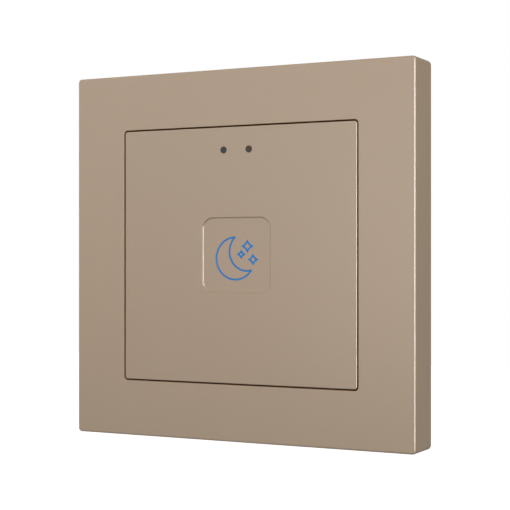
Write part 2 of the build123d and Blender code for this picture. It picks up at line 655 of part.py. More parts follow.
def tact_switch_bodies():
    """Square push switch cases with a well for the plunger."""
    cases = []
    for x in pair(TACT_SPREAD):
        case = block(about(x, TACT_SIZE), (TACT_BODY_FRONT_Y, FRONT_BOARD_Y), about(0, TACT_SIZE))
        case = chamfer(case.edges().filter_by(Axis.Y), TACT_BODY_EDGE)
        well_back = TACT_BODY_FRONT_Y + TACT_PLUNGER_HIDDEN + TACT_STROKE_ROOM
        well = TACT_PLUNGER_R + TACT_PLUNGER_FIT
        cases.append(case - peg(well, TACT_BODY_FRONT_Y, well_back, x, 0))
    return cases


def tact_plunger(x):
    """Round plunger with a softened tip."""
    plunger = peg(TACT_PLUNGER_R, TACT_TIP_Y, TACT_BODY_FRONT_Y + TACT_PLUNGER_HIDDEN, x, 0)
    return fillet(plunger.edges().group_by(Axis.Y)[0], TACT_BODY_EDGE / 2)


def surface_led(x, z):
    """Small chip lamp: a base with a narrower lens."""
    middle_y = FRONT_BOARD_Y - LED_HEIGHT / 2
    base = block(about(x, LED_LENGTH), (middle_y, FRONT_BOARD_Y), about(z, LED_WIDTH))
    lens = block(about(x, LED_LENGTH - 2 * LED_LENS_INSET), (LED_TOP_Y, middle_y),
                 about(z, LED_WIDTH - LED_LENS_INSET))
    return base + lens


def radio_module():
    """Small module board that lies on the front board."""
    return block(about(RADIO_X, RADIO_LENGTH), (FRONT_BOARD_Y - RADIO_BOARD, FRONT_BOARD_Y),
                 about(RADIO_Z, RADIO_WIDTH))


def radio_shield():
    """Drawn metal can over the module's circuits, clear of its aerial end."""
    back = FRONT_BOARD_Y - RADIO_BOARD
    right = RADIO_X + RADIO_LENGTH / 2 - RADIO_CAN_MARGIN
    can = block((right - RADIO_CAN_LENGTH, right), (back - RADIO_CAN_HEIGHT, back),
                about(RADIO_Z, RADIO_WIDTH - 2 * RADIO_CAN_MARGIN))
    return fillet(can.edges().group_by(Axis.Y)[0], RADIO_CAN_R)


def controller_chip():
    """Flat chip with a chamfer at its first pin."""
    back = FRONT_BOARD_Y
    chip = block(about(CHIP_X, CHIP_SIZE), (back - CHIP_HEIGHT, back), about(CHIP_Z, CHIP_SIZE))
    corner = chip.edges().filter_by(Axis.Y).sort_by(lambda edge: edge.center().X - edge.center().Z)
    return chamfer(corner[0], CHIP_HEIGHT / 2)


def link_places():
    """Where the plug-in link's pins stand, in one row."""
    first = LINK_X - (LINK_WAYS - 1) / 2 * LINK_PITCH
    return [(first + way * LINK_PITCH, LINK_Z) for way in range(LINK_WAYS)]


def link_opening(front, back):
    """Room for the socket strip in a wall that it passes through."""
    return block(about(LINK_X, LINK_LENGTH + 2 * LINK_CUT_CLEAR), (front, back),
                 about(LINK_Z, SOCKET_WIDTH + 2 * LINK_CUT_CLEAR))


def board_socket():
    """Socket strip behind the front board, with one well for each pin."""
    strip = block(about(LINK_X, LINK_LENGTH), (FRONT_BOARD_BACK_Y, SOCKET_BACK_Y),
                  about(LINK_Z, SOCKET_WIDTH))
    well_front = HEADER_FRONT_Y - HEADER_PIN_REACH - SOCKET_WELL_ROOM
    for x, z in link_places():
        well = LINK_PIN + 2 * LINK_PIN_PLAY
        strip -= block(about(x, well), (well_front, SOCKET_BACK_Y), about(z, well))
    return strip


def pin_header():
    """Plastic strip on the power board that holds the pins."""
    strip = block(about(LINK_X, LINK_LENGTH), (HEADER_FRONT_Y, POWER_BOARD_Y),
                  about(LINK_Z, SOCKET_WIDTH))
    for x, z in link_places():
        strip -= block(about(x, LINK_PIN), (HEADER_FRONT_Y, POWER_BOARD_Y), about(z, LINK_PIN))
    return strip


def header_pins():
    """Square pins from the socket strip through to the back of the power board."""
    span = (HEADER_FRONT_Y - HEADER_PIN_REACH, PARTS_Y + HEADER_PIN_TAIL)
    return [block(about(x, LINK_PIN), span, about(z, LINK_PIN)) for x, z in link_places()]


def ring_hook(x, side):
    """Clip behind the carrier that snaps over the edge of the ring's opening."""
    outer = side * (RING_OPENING / 2 - HOOK_FIT)
    inner = outer - side * HOOK_THICK
    nose_front = WALL_Y + HOOK_PLAY
    nose_back = nose_front + HOOK_NOSE
    across = about(x, HOOK_WIDTH)
    arm = block(across, (RING_FRONT_Y, nose_back), tuple(sorted((inner, outer))))
    nose = block(across, (nose_front, nose_back), tuple(sorted((outer, outer + side * HOOK_CATCH))))
    tip = nose.edges().filter_by(Axis.X).group_by(Axis.Y)[-1].sort_by(Axis.Z)
    return arm + chamfer(tip[-1] if side > 0 else tip[0], HOOK_NOSE / 2)


def module_carrier():
    """Tray with a clamping rim, board posts, hinge brackets and ring clips."""
    tray = prism(square(CARRIER_SIZE, CARRIER_CORNER_R), RIM_FRONT_Y, RING_FRONT_Y)
    tray += prism(square(RIM_SIZE, OPENING_CORNER_R), RIM_FRONT_Y, LIP_FRONT_Y)
    inside_r = CARRIER_CORNER_R - CARRIER_WALL / 2
    tray -= prism(square(CARRIER_INSIDE, inside_r), RIM_FRONT_Y, BASE_FRONT_Y)
    for x, z in corners(BOARD_SCREW_SPREAD_X, BOARD_SCREW_SPREAD_Z):
        tray += peg(POST_R, FRONT_BOARD_BACK_Y, BASE_FRONT_Y, x, z)
        tray -= peg(BOARD_SCREW_R, FRONT_BOARD_BACK_Y, FRONT_BOARD_BACK_Y + BOARD_SCREW_BITE, x, z)
    for side in (-1, 1):
        tray += hinge_lug(bracket_left_side(side), BRACKET_WIDTH, RIM_FRONT_Y)
    bore = HINGE_PIN_R + HINGE_PLAY
    tray -= cross_rod(bore, -HINGE_SPREAD / 2, HINGE_SPREAD / 2, HINGE_Y, HINGE_Z)
    window_front = BASE_FRONT_Y - SNAP_BARB_HEIGHT - SNAP_PLAY
    for x in pair(SNAP_SPREAD):
        tray -= snap_recess(x, BASE_FRONT_Y, RING_FRONT_Y)
        across = about(x, SNAP_WIDTH + 2 * SNAP_ROOM)
        tray -= block(across, (window_front, RING_FRONT_Y), (-CARRIER_SIZE / 2, -CARRIER_INSIDE / 2))
    tray -= link_opening(BASE_FRONT_Y, RING_FRONT_Y)
    head_room = BOX_SCREW_HEAD_R + BOX_SCREW_HEAD_PLAY
    for x in pair(BOX_SCREW_SPACING):
        tray -= peg(head_room, RIM_FRONT_Y, LIP_FRONT_Y, x, 0)
    for x in pair(HOOK_SPREAD):
        for side in (-1, 1):
            tray += ring_hook(x, side)
    return tray


def countersunk(x, z, play):
    """Cone and shank of a countersunk screw whose head is flush with the ring's front."""
    section = Plane(origin=(x, 0, z), x_dir=(1, 0, 0), z_dir=(0, 0, 1))
    shank = HOUSING_SCREW_R + play
    outline = Polyline((0, RING_FRONT_Y), (HOUSING_SCREW_HEAD_R + play, RING_FRONT_Y),
                       (shank, WALL_Y), (shank, HOUSING_SCREW_LENGTH), (0, HOUSING_SCREW_LENGTH),
                       close=True)
    return revolve(section * make_face(outline), Axis((x, 0, z), (0, 1, 0)))


def housing_screws():
    """Countersunk screws that join ring, insert cover and insert housing."""
    screws = []
    for x, z in corners(2 * HOUSING_SCREW_X, 2 * HOUSING_SCREW_Z):
        recess = HOUSING_SCREW_RECESS
        cross = cross_recess(HOUSING_SCREW_R, recess, recess, RING_FRONT_Y, x, z, 1)
        screws.append(countersunk(x, z, 0) - cross)
    return screws


def support_ring():
    """Pressed steel ring with box-screw slots, plug holes and countersunk holes."""
    ring = prism(square(RING_SIZE, RING_CORNER_R), RING_FRONT_Y, WALL_Y)
    ring -= prism(square(RING_OPENING, RING_OPENING_R), RING_FRONT_Y, WALL_Y)
    slot = SlotOverall(BOX_SLOT_LENGTH, 2 * BOX_SLOT_R)
    for x in pair(BOX_SCREW_SPACING):
        ring -= prism(Pos(x, 0) * slot, RING_FRONT_Y, WALL_Y)
    for x, z in corners(PLUG_HOLE_SPREAD, PLUG_HOLE_SPREAD):
        ring -= peg(PLUG_HOLE_R, RING_FRONT_Y, WALL_Y, x, z)
    for x, z in corners(2 * HOUSING_SCREW_X, 2 * HOUSING_SCREW_Z):
        ring -= countersunk(x, z, HOUSING_SCREW_HOLE_PLAY)
    return ring


def insert_outline(inset):
    """Square with its corners cut by the round wall box, drawn in by an inset."""
    side = INSERT_SIZE - 2 * inset
    return Rectangle(side, side) & Circle(INSERT_DIAMETER / 2 - inset)


def insert_cover():
    """Flat lid behind the ring, with closed pockets for the carrier's clips."""
    lid = prism(insert_outline(0), WALL_Y, COVER_BACK_Y)
    lid -= link_opening(WALL_Y, COVER_BACK_Y)
    outer = RING_OPENING / 2 - HOOK_FIT
    near, far = outer - HOOK_THICK - HOOK_FIT, outer + HOOK_CATCH + HOOK_FIT
    across = HOOK_WIDTH + 2 * HOOK_FIT
    pocket_back = WALL_Y + HOOK_PLAY + HOOK_NOSE + HOOK_FIT
    for x in pair(HOOK_SPREAD):
        for side in (-1, 1):
            low, high = sorted((side * near, side * far))
            lid += block(about(x, across + 2 * POCKET_WALL), (COVER_BACK_Y, pocket_back + POCKET_WALL),
                         (low - POCKET_WALL, high + POCKET_WALL))
            lid -= block(about(x, across), (WALL_Y, pocket_back), (low, high))
    for x, z in corners(COVER_POST_SPREAD, COVER_POST_SPREAD / 2):
        lid += peg(COVER_POST_R, COVER_BACK_Y, POWER_BOARD_Y, x, z)
    for x, z in corners(2 * HOUSING_SCREW_X, 2 * HOUSING_SCREW_Z):
        lid -= peg(HOUSING_SCREW_R + HOUSING_SCREW_HOLE_PLAY, WALL_Y, COVER_BACK_Y, x, z)
    return lid & prism(insert_outline(0), WALL_Y, POWER_BOARD_Y)


def terminal_places():
    """Each terminal's name with its place on X, seen from behind from left to right."""
    first = (len(TERMINALS) - 1) / 2
    return [(name, (first - index) * TERMINAL_PITCH) for index, name in enumerate(TERMINALS)]


def wire_entry(x, outer_z, inner_z):
    """Rectangular wire entry through a lower wall, in line with the cage's mouth."""
    middle = (BUSBAR_FRONT_Y + CAGE_FLOOR_Y) / 2
    return block(about(x, WIRE_ENTRY_WIDTH), about(middle, WIRE_ENTRY_HEIGHT), (outer_z, inner_z))


def terminal_field():
    """Sunk field round the driver holes' collars, and the strip gauge above it."""
    collar_r = SCREW_HEAD_R + SCREW_HEAD_PLAY + DRIVER_COLLAR
    width = (len(TERMINALS) - 1) * TERMINAL_PITCH + 2 * (collar_r + FIELD_MARGIN)
    height = 2 * (collar_r + FIELD_LOW_MARGIN)
    outline = Pos(0, TERMINAL_Z) * RectangleRounded(width, height, FIELD_CORNER_R)
    for name, x in terminal_places():
        outline -= Pos(x, TERMINAL_Z) * Circle(collar_r)
    gauge_z = TERMINAL_Z + height / 2 + STRIP_GAUGE_GAP
    gauge = block(about(0, STRIP_GAUGE_LENGTH), (INSERT_BACK_Y - STRIP_GAUGE_SUNK, INSERT_BACK_Y),
                  about(gauge_z, STRIP_GAUGE_WIDTH))
    return prism(outline, INSERT_BACK_Y - FIELD_SUNK, INSERT_BACK_Y) + gauge


def insert_housing():
    """Deep shell with screw bosses, board rests, driver holes, wire entries and flutes."""
    shell = prism(insert_outline(0), COVER_BACK_Y, INSERT_BACK_Y)
    shell = fillet(shell.edges().group_by(Axis.Y)[-1], INSERT_EDGE_R)
    shell -= prism(insert_outline(INSERT_WALL), COVER_BACK_Y, CAVITY_BACK_Y)
    wall = INSERT_SIZE / 2 - INSERT_WALL
    for side in (-1, 1):
        rest = block(tuple(sorted((side * (wall - BOARD_REST_WIDTH), side * wall))),
                     (PARTS_Y, CAVITY_BACK_Y), about(0, BOARD_REST_LENGTH))
        shell += rest
    for x in pair(COVER_POST_SPREAD / 2):
        shell += block(about(x, BOARD_REST_LENGTH), (PARTS_Y, CAVITY_BACK_Y),
                       (wall - BOARD_REST_WIDTH, wall))
    bosses = Sketch() + [Pos(x, z) * Circle(HOUSING_BOSS_R)
                         for x, z in corners(2 * HOUSING_SCREW_X, 2 * HOUSING_SCREW_Z)]
    shell += prism(bosses & insert_outline(0), COVER_BACK_Y, HOUSING_BOSS_DEPTH)
    for x, z in corners(2 * HOUSING_SCREW_X, 2 * HOUSING_SCREW_Z):
        shell -= peg(HOUSING_SCREW_R, COVER_BACK_Y, HOUSING_SCREW_LENGTH, x, z)
    for name, x in terminal_places():
        shell -= peg(SCREW_HEAD_R + SCREW_HEAD_PLAY, CAVITY_BACK_Y, INSERT_BACK_Y, x, TERMINAL_Z)
        shell -= wire_entry(x, -INSERT_SIZE / 2, BLOCK_BOTTOM_Z)
    for x in pair(INSERT_SIZE):
        for z in [(step - (FLUTE_COUNT - 1) / 2) * FLUTE_PITCH for step in range(FLUTE_COUNT)]:
            shell -= peg(FLUTE_R, HOUSING_BOSS_DEPTH, INSERT_BACK_Y - FLUTE_END_GAP, x, z)
    return shell - terminal_field()


def power_circuit_board():
    """Board that fills the shell, notched round its bosses, with slots for the bars."""
    board = prism(insert_outline(INSERT_WALL + POWER_BOARD_CLEAR), POWER_BOARD_Y, PARTS_Y)
    for x, z in corners(2 * HOUSING_SCREW_X, 2 * HOUSING_SCREW_Z):
        board -= peg(HOUSING_BOSS_R + POWER_BOARD_CLEAR, POWER_BOARD_Y, PARTS_Y, x, z)
    for x, z in link_places():
        board -= block(about(x, LINK_PIN), (POWER_BOARD_Y, PARTS_Y), about(z, LINK_PIN))
    for name, x in terminal_places():
        board -= busbar_tail(x)
    return board


def relay_cover():
    """Thin box over the relay, open towards the board."""
    x_span, z_span = about(RELAY_X, RELAY_WIDTH), about(RELAY_Z, RELAY_LENGTH)
    box = block(x_span, (PARTS_Y, PARTS_Y + RELAY_HEIGHT), z_span)
    box = fillet(box.edges().group_by(Axis.Y)[-1], RELAY_WALL)
    inside = (about(RELAY_X, RELAY_WIDTH - 2 * RELAY_WALL),
              (PARTS_Y, PARTS_Y + RELAY_HEIGHT - RELAY_WALL),
              about(RELAY_Z, RELAY_LENGTH - 2 * RELAY_WALL))
    return box - block(*inside)


def relay_base():
    """Floor plate of the relay, inside its cover."""
    return block(about(RELAY_X, RELAY_WIDTH - 2 * RELAY_WALL), (PARTS_Y, PARTS_Y + RELAY_BASE),
                 about(RELAY_Z, RELAY_LENGTH - 2 * RELAY_WALL))


def relay_bobbin():
    """Spool with square end flanges."""
    spool = upright_rod(BOBBIN_TUBE_R, COIL_LOW_Z, COIL_HIGH_Z, RELAY_X, COIL_Y)
    for low in (COIL_LOW_Z, COIL_HIGH_Z - BOBBIN_FLANGE):
        spool += block(about(RELAY_X, BOBBIN_SIZE), about(COIL_Y, BOBBIN_SIZE),
                       (low, low + BOBBIN_FLANGE))
    return spool - upright_rod(CORE_R, COIL_LOW_Z, COIL_HIGH_Z, RELAY_X, COIL_Y)


def relay_winding():
    """Copper winding between the flanges."""
    low, high = COIL_LOW_Z + BOBBIN_FLANGE, COIL_HIGH_Z - BOBBIN_FLANGE
    winding = upright_rod(WINDING_R, low, high, RELAY_X, COIL_Y)
    return winding - upright_rod(BOBBIN_TUBE_R, low, high, RELAY_X, COIL_Y)


def relay_yoke():
    """Iron path: core with its pole face, foot, and a long leg with a rounded end."""
    foot_low = COIL_LOW_Z - YOKE_THICK
    width = about(RELAY_X, YOKE_WIDTH)
    iron = upright_rod(CORE_R, foot_low, COIL_HIGH_Z, RELAY_X, COIL_Y)
    iron += upright_rod(POLE_R, COIL_HIGH_Z, POLE_Z, RELAY_X, COIL_Y)
    iron += block(width, (COIL_Y - BOBBIN_SIZE / 2, YOKE_BACK_Y), (foot_low, COIL_LOW_Z))
    iron += block(width, (YOKE_FRONT_Y, YOKE_BACK_Y), (foot_low, ARMATURE_PIVOT_Z))
    return iron + cross_rod(YOKE_THICK / 2, *width, ARMATURE_PIVOT_Y, ARMATURE_PIVOT_Z)


def relay_armature():
    """Iron flap on the leg's end, with a contact button near its free edge."""
    flap = block(about(RELAY_X, ARMATURE_WIDTH), (ARMATURE_FRONT_Y, YOKE_BACK_Y),
                 (ARMATURE_Z, ARMATURE_Z + ARMATURE_THICK))
    outer = ARMATURE_Z + ARMATURE_THICK
    return flap + upright_rod(CONTACT_R, outer, outer + CONTACT_THICK, RELAY_X, CONTACT_Y)


def relay_contact():
    """Fixed contact blade that stands on the base and faces the armature's button."""
    button_low = ARMATURE_Z + ARMATURE_THICK + CONTACT_THICK + CONTACT_GAP
    blade_low = button_low + CONTACT_THICK
    blade = block(about(RELAY_X, CONTACT_BLADE_WIDTH),
                  (PARTS_Y + RELAY_BASE, CONTACT_Y + CONTACT_BLADE_WIDTH / 2),
                  (blade_low, blade_low + CONTACT_BLADE))
    return blade + upright_rod(CONTACT_R, button_low, blade_low, RELAY_X, CONTACT_Y)


def transformer_core():
    """Ferrite pair: a ring round the winding with a middle leg through it."""
    half = TRANSFORMER_SIZE / 2
    front, back = PARTS_Y + TRANSFORMER_FOOT, PARTS_Y + TRANSFORMER_HEIGHT
    depth = about(TRANSFORMER_Z, TRANSFORMER_DEPTH)
    core = block(about(TRANSFORMER_X, TRANSFORMER_SIZE), (front, back), depth)
    for side in (-1, 1):
        inner, outer = TRANSFORMER_LEG / 2, half - TRANSFORMER_LEG / 2
        window = sorted((TRANSFORMER_X + side * inner, TRANSFORMER_X + side * outer))
        core -= block(tuple(window), (front + TRANSFORMER_LEG / 2, back - TRANSFORMER_LEG / 2), depth)
    return core


def transformer_winding():
    """Taped winding round the middle leg, on a footed coil former."""
    front, back = PARTS_Y + TRANSFORMER_FOOT, PARTS_Y + TRANSFORMER_HEIGHT
    inner_y = (front + TRANSFORMER_LEG / 2, back - TRANSFORMER_LEG / 2)
    width = TRANSFORMER_SIZE - TRANSFORMER_LEG
    reach = about(TRANSFORMER_Z, TRANSFORMER_SIZE)
    coil = block(about(TRANSFORMER_X, width), inner_y, reach)
    coil = fillet(coil.edges().filter_by(Axis.Y), TRANSFORMER_LEG / 2)
    coil -= block(about(TRANSFORMER_X, TRANSFORMER_LEG), inner_y,
                  about(TRANSFORMER_Z, TRANSFORMER_DEPTH))
    for side in (-1, 1):
        place = TRANSFORMER_Z + side * (TRANSFORMER_SIZE - TRANSFORMER_LEG) / 2
        coil += block(about(TRANSFORMER_X, width - TRANSFORMER_LEG), (PARTS_Y, inner_y[0]),
                      about(place, TRANSFORMER_LEG))
    return coil


def bulk_capacitor():
    """Aluminium can with a rolled groove near its foot."""
    section = Plane(origin=(CAPACITOR_X, PARTS_Y, CAPACITOR_Z), x_dir=(1, 0, 0), z_dir=(0, 0, 1))
    groove = Pos(CAPACITOR_R + CAPACITOR_ROLL_R / 2, CAPACITOR_ROLL_RISE) * Circle(CAPACITOR_ROLL_R)
    body = Pos(CAPACITOR_R / 2, CAPACITOR_HEIGHT / 2) * Rectangle(CAPACITOR_R, CAPACITOR_HEIGHT)
    axis = Axis((CAPACITOR_X, 0, CAPACITOR_Z), (0, 1, 0))
    can = revolve(section * (body - groove), axis)
    return fillet(can.edges().group_by(Axis.Y)[-1], CAPACITOR_ROLL_R)


def fuse():
    """Round radial fuse."""
    case = peg(FUSE_R, PARTS_Y, PARTS_Y + FUSE_HEIGHT, FUSE_X, FUSE_Z)
    return fillet(case.edges().group_by(Axis.Y)[-1], FUSE_EDGE_R)


def varistor():
    """Coated disc that stands on two leads."""
    centre_y = PARTS_Y + VARISTOR_STANDOFF + VARISTOR_R
    low, high = about(VARISTOR_Z, VARISTOR_THICK)
    disc = upright_rod(VARISTOR_R, low, high, VARISTOR_X, centre_y)
    disc = fillet(disc.edges(), VARISTOR_EDGE_R)
    for x in pair(LEAD_SPREAD):
        disc += peg(WIRE_R, PARTS_Y, centre_y, VARISTOR_X + x, VARISTOR_Z)
    return disc


def choke():
    """Drum choke: two flanges with the winding in its waist."""
    section = Plane(origin=(CHOKE_X, PARTS_Y, CHOKE_Z), x_dir=(1, 0, 0), z_dir=(0, 0, 1))
    top = CHOKE_HEIGHT
    outline = Polyline((0, 0), (CHOKE_R, 0), (CHOKE_R, CHOKE_FLANGE),
                       (CHOKE_WAIST_R, 2 * CHOKE_FLANGE), (CHOKE_WAIST_R, top - 2 * CHOKE_FLANGE),
                       (CHOKE_R, top - CHOKE_FLANGE), (CHOKE_R, top), (0, top), close=True)
    return revolve(section * make_face(outline), Axis((CHOKE_X, 0, CHOKE_Z), (0, 1, 0)))


def chamber_span():
    """Limits on Z of the room that a cage moves in."""
    return about(TERMINAL_Z, CAGE_LENGTH + 2 * CAGE_PLAY)


def terminal_block():
    """Insulating block with a chamber, a screw seat and a wire entry for each cage."""
    body = block(about(0, BLOCK_WIDTH), (BLOCK_FRONT_Y, CAVITY_BACK_Y), (BLOCK_BOTTOM_Z, BLOCK_TOP_Z))
    for name, x in terminal_places():
        room = about(x, CAGE_WIDTH + 2 * CAGE_PLAY)
        body -= block(room, (CHAMBER_FRONT_Y, CHAMBER_BACK_Y), chamber_span())
        body -= peg(SCREW_R + SCREW_PLAY, CHAMBER_BACK_Y, CAVITY_BACK_Y, x, TERMINAL_Z)
        body -= peg(SCREW_HEAD_R + SCREW_HEAD_PLAY, HEAD_FRONT_Y - SCREW_PLAY, CAVITY_BACK_Y,
                    x, TERMINAL_Z)
        body -= wire_entry(x, BLOCK_BOTTOM_Z, chamber_span()[0])
        body -= block(about(x, BUSBAR_WIDTH), (BUSBAR_FRONT_Y, BUSBAR_BACK_Y),
                      (chamber_span()[1], BLOCK_TOP_Z))
    return body


def busbar_tail(x):
    """Solder tail of a bar, from its bend through the power board."""
    return block(about(x, BUSBAR_TAIL_WIDTH), (POWER_BOARD_Y - BUSBAR_TAIL_PROUD, BUSBAR_BACK_Y),
                 (BLOCK_TOP_Z, BLOCK_TOP_Z + BUSBAR_TAIL_THICK))


def terminal_busbars():
    """Brass bars: a flat tongue in each cage and a tail down to the power board."""
    bars = []
    for name, x in terminal_places():
        tongue = block(about(x, BUSBAR_WIDTH), (BUSBAR_FRONT_Y, BUSBAR_BACK_Y),
                       (TERMINAL_Z - CAGE_LENGTH / 2, BLOCK_TOP_Z + BUSBAR_TAIL_THICK))
        bars.append(tongue + busbar_tail(x))
    return bars


def terminal_clamp(x):
    """Box cage, open at both ends, with a wide floor and a thick tapped top."""
    z_span = about(TERMINAL_Z, CAGE_LENGTH)
    cage = block(about(x, CAGE_WIDTH), (CAGE_FRONT_Y, CAGE_BACK_Y), z_span)
    mouth = about(x, CAGE_WIDTH - 2 * CAGE_WALL)
    cage -= block(mouth, (CAGE_FLOOR_Y, CAGE_BACK_Y - CAGE_TOP), z_span)
    cage = fillet(cage.edges().filter_by(Axis.Z).group_by(Axis.Y)[0], CAGE_WALL / 2)
    return cage - peg(SCREW_R + SCREW_PLAY, CAGE_BACK_Y - CAGE_TOP, CAGE_BACK_Y, x, TERMINAL_Z)


def terminal_screw(x):
    """Cheese-head screw with a cross recess; its tip bears on the bar."""
    head = peg(SCREW_HEAD_R, HEAD_FRONT_Y, HEAD_BACK_Y, x, TERMINAL_Z)
    head = fillet(head.edges().group_by(Axis.Y)[-1], SCREW_HEAD_EDGE_R)
    screw = head + peg(SCREW_R, BUSBAR_BACK_Y, HEAD_FRONT_Y, x, TERMINAL_Z)
    reach = SCREW_HEAD_R - SCREW_SLOT
    return screw - cross_recess(reach, SCREW_SLOT_DEPTH, SCREW_SLOT, HEAD_BACK_Y, x, TERMINAL_Z, -1)


def save(name, shape):
    """Write one piece, or one group of like pieces, to its own file."""
    solids = shape if isinstance(shape, list) else [shape]
    whole = Compound(children=[solid for piece in solids for solid in piece.solids()])
    export_step(whole, f"parts/{name}.step")


window_left, window_right = pair(WINDOW_SPREAD)
plunger_left, plunger_right = pair(TACT_SPREAD)
symbol_lamps = [surface_led(x, z) for x, z in corners(LED_SPREAD, LED_SPREAD)]

save("cover_frame", cover_frame())
save("key_plate", key_plate())
save("hinge_pins", hinge_pins())
save("symbol_light_guide", symbol_light_guide())
save("status_light_pipe", window_plug(window_left))
save("light_sensor_window", window_plug(window_right))
save("light_shroud", light_shroud())
save("front_circuit_board", front_circuit_board())
save("board_screws", board_screws())
save("tact_switch_bodies", tact_switch_bodies())
save("tact_plunger_left", tact_plunger(plunger_left))
save("tact_plunger_right", tact_plunger(plunger_right))
save("symbol_leds", symbol_lamps)
save("status_led", surface_led(window_left, WINDOW_RISE))
save("ambient_light_sensor", surface_led(window_right, WINDOW_RISE))
save("radio_module", radio_module())
save("radio_shield", radio_shield())
save("controller_chip", controller_chip())
save("board_socket", board_socket())
save("module_carrier", module_carrier())
save("support_ring", support_ring())
save("housing_screws", housing_screws())
save("insert_cover", insert_cover())
save("insert_housing", insert_housing())
save("power_circuit_board", power_circuit_board())
save("pin_header", pin_header())
save("header_pins", header_pins())
save("relay_base", relay_base())
save("relay_bobbin", relay_bobbin())
save("relay_winding", relay_winding())
save("relay_yoke", relay_yoke())
save("relay_armature", relay_armature())
save("relay_contact", relay_contact())
save("relay_cover", relay_cover())
save("transformer_core", transformer_core())
save("transformer_winding", transformer_winding())
save("bulk_capacitor", bulk_capacitor())
save("fuse", fuse())
save("varistor", varistor())
save("choke", choke())
save("terminal_block", terminal_block())
save("terminal_busbars", terminal_busbars())
for name, x in terminal_places():
    save(f"terminal_screw_{name}", terminal_screw(x))
    save(f"terminal_clamp_{name}", terminal_clamp(x))

print("key hinge axis along X at y, z:", round(HINGE_Y, 4), round(HINGE_Z, 4))
print("key travel at its lower edge:", round(KEY_DROP, 3))
pivot = (RELAY_X, ARMATURE_PIVOT_Y, ARMATURE_PIVOT_Z)
print("relay pivot along X at x, y, z:", [round(value, 4) for value in pivot])
print("terminal screw axes along Y at x, z:", terminal_places(), round(TERMINAL_Z, 4))
print("wire entry centre at y:", round((BUSBAR_FRONT_Y + CAGE_FLOOR_Y) / 2, 4))
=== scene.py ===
import bpy
import numpy as np
from mathutils import Matrix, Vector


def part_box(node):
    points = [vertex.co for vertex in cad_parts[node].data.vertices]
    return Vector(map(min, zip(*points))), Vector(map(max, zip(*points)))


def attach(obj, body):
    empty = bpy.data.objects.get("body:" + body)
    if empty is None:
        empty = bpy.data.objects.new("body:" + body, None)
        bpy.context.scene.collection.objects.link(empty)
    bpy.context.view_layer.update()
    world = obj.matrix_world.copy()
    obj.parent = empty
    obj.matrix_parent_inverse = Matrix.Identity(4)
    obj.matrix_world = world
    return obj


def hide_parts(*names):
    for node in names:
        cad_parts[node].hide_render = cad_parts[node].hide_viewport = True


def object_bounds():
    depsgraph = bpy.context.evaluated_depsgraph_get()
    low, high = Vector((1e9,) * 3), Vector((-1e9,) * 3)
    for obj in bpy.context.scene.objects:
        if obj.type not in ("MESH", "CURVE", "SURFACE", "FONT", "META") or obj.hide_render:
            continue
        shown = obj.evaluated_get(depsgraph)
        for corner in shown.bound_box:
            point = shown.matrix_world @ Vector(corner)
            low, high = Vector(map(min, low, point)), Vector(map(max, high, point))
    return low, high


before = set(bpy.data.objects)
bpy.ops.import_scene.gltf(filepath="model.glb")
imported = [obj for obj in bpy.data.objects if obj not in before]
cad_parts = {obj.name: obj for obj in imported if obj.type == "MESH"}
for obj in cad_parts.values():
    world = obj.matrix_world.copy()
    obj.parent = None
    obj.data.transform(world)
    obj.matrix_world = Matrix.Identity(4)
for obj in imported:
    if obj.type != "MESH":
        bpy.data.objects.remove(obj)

cad_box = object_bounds()


# Insert housing
# The deep shell that goes into the wall box. It is light grey glass-filled thermoplastic,
# injection moulded in a spark-eroded tool, so it is evenly matt with a fine grain.
MM = 0.001
HOUSING_GREY = (0.60, 0.61, 0.595, 1)
HOUSING_SHADE = (0.52, 0.53, 0.515, 1)
DRIFT_WAVES_IN_A_METRE = 90.0


def add_node(tree, kind, sockets, **settings):
    """A node with its settings; a socket is given a value, or another node's output to link."""
    node = tree.nodes.new(kind)
    for name, value in settings.items():
        setattr(node, name, value)
    for name, value in sockets.items():
        if isinstance(value, bpy.types.NodeSocket):
            tree.links.new(value, node.inputs[name])
        else:
            node.inputs[name].default_value = value
    return node


def blend_colours(tree, share, first, second):
    """The first colour where the share is 0, the second where it is 1."""
    mix = add_node(tree, "ShaderNodeMix", {0: share}, data_type="RGBA")
    for socket, value in ((mix.inputs[6], first), (mix.inputs[7], second)):
        if isinstance(value, bpy.types.NodeSocket):
            tree.links.new(value, socket)
        else:
            socket.default_value = value
    return mix.outputs[2]


def spread(tree, value, low, high):
    """A value from 0 to 1 spread between two limits."""
    sockets = {"Value": value, "To Min": low, "To Max": high}
    return add_node(tree, "ShaderNodeMapRange", sockets).outputs["Result"]


def noise(tree, place, scale, detail=2.0):
    """Noise from 0 to 1 with about the given number of waves in a metre."""
    sockets = {"Vector": place, "Scale": scale, "Detail": detail}
    return add_node(tree, "ShaderNodeTexNoise", sockets).outputs[0]


def start_group(name, inputs, outputs):
    """A new shader node group with its named sockets, and its input and output nodes."""
    group = bpy.data.node_groups.new(name, "ShaderNodeTree")
    for label, kind, value in inputs:
        socket = group.interface.new_socket(label, in_out="INPUT", socket_type=kind)
        socket.default_value = value
    for label, kind in outputs:
        group.interface.new_socket(label, in_out="OUTPUT", socket_type=kind)
    return group, group.nodes.new("NodeGroupInput"), group.nodes.new("NodeGroupOutput")


COLOUR, VALUE, VECTOR = "NodeSocketColor", "NodeSocketFloat", "NodeSocketVector"
FINISH_OUTPUTS = [("Colour", COLOUR), ("Roughness", VALUE), ("Height", VALUE)]


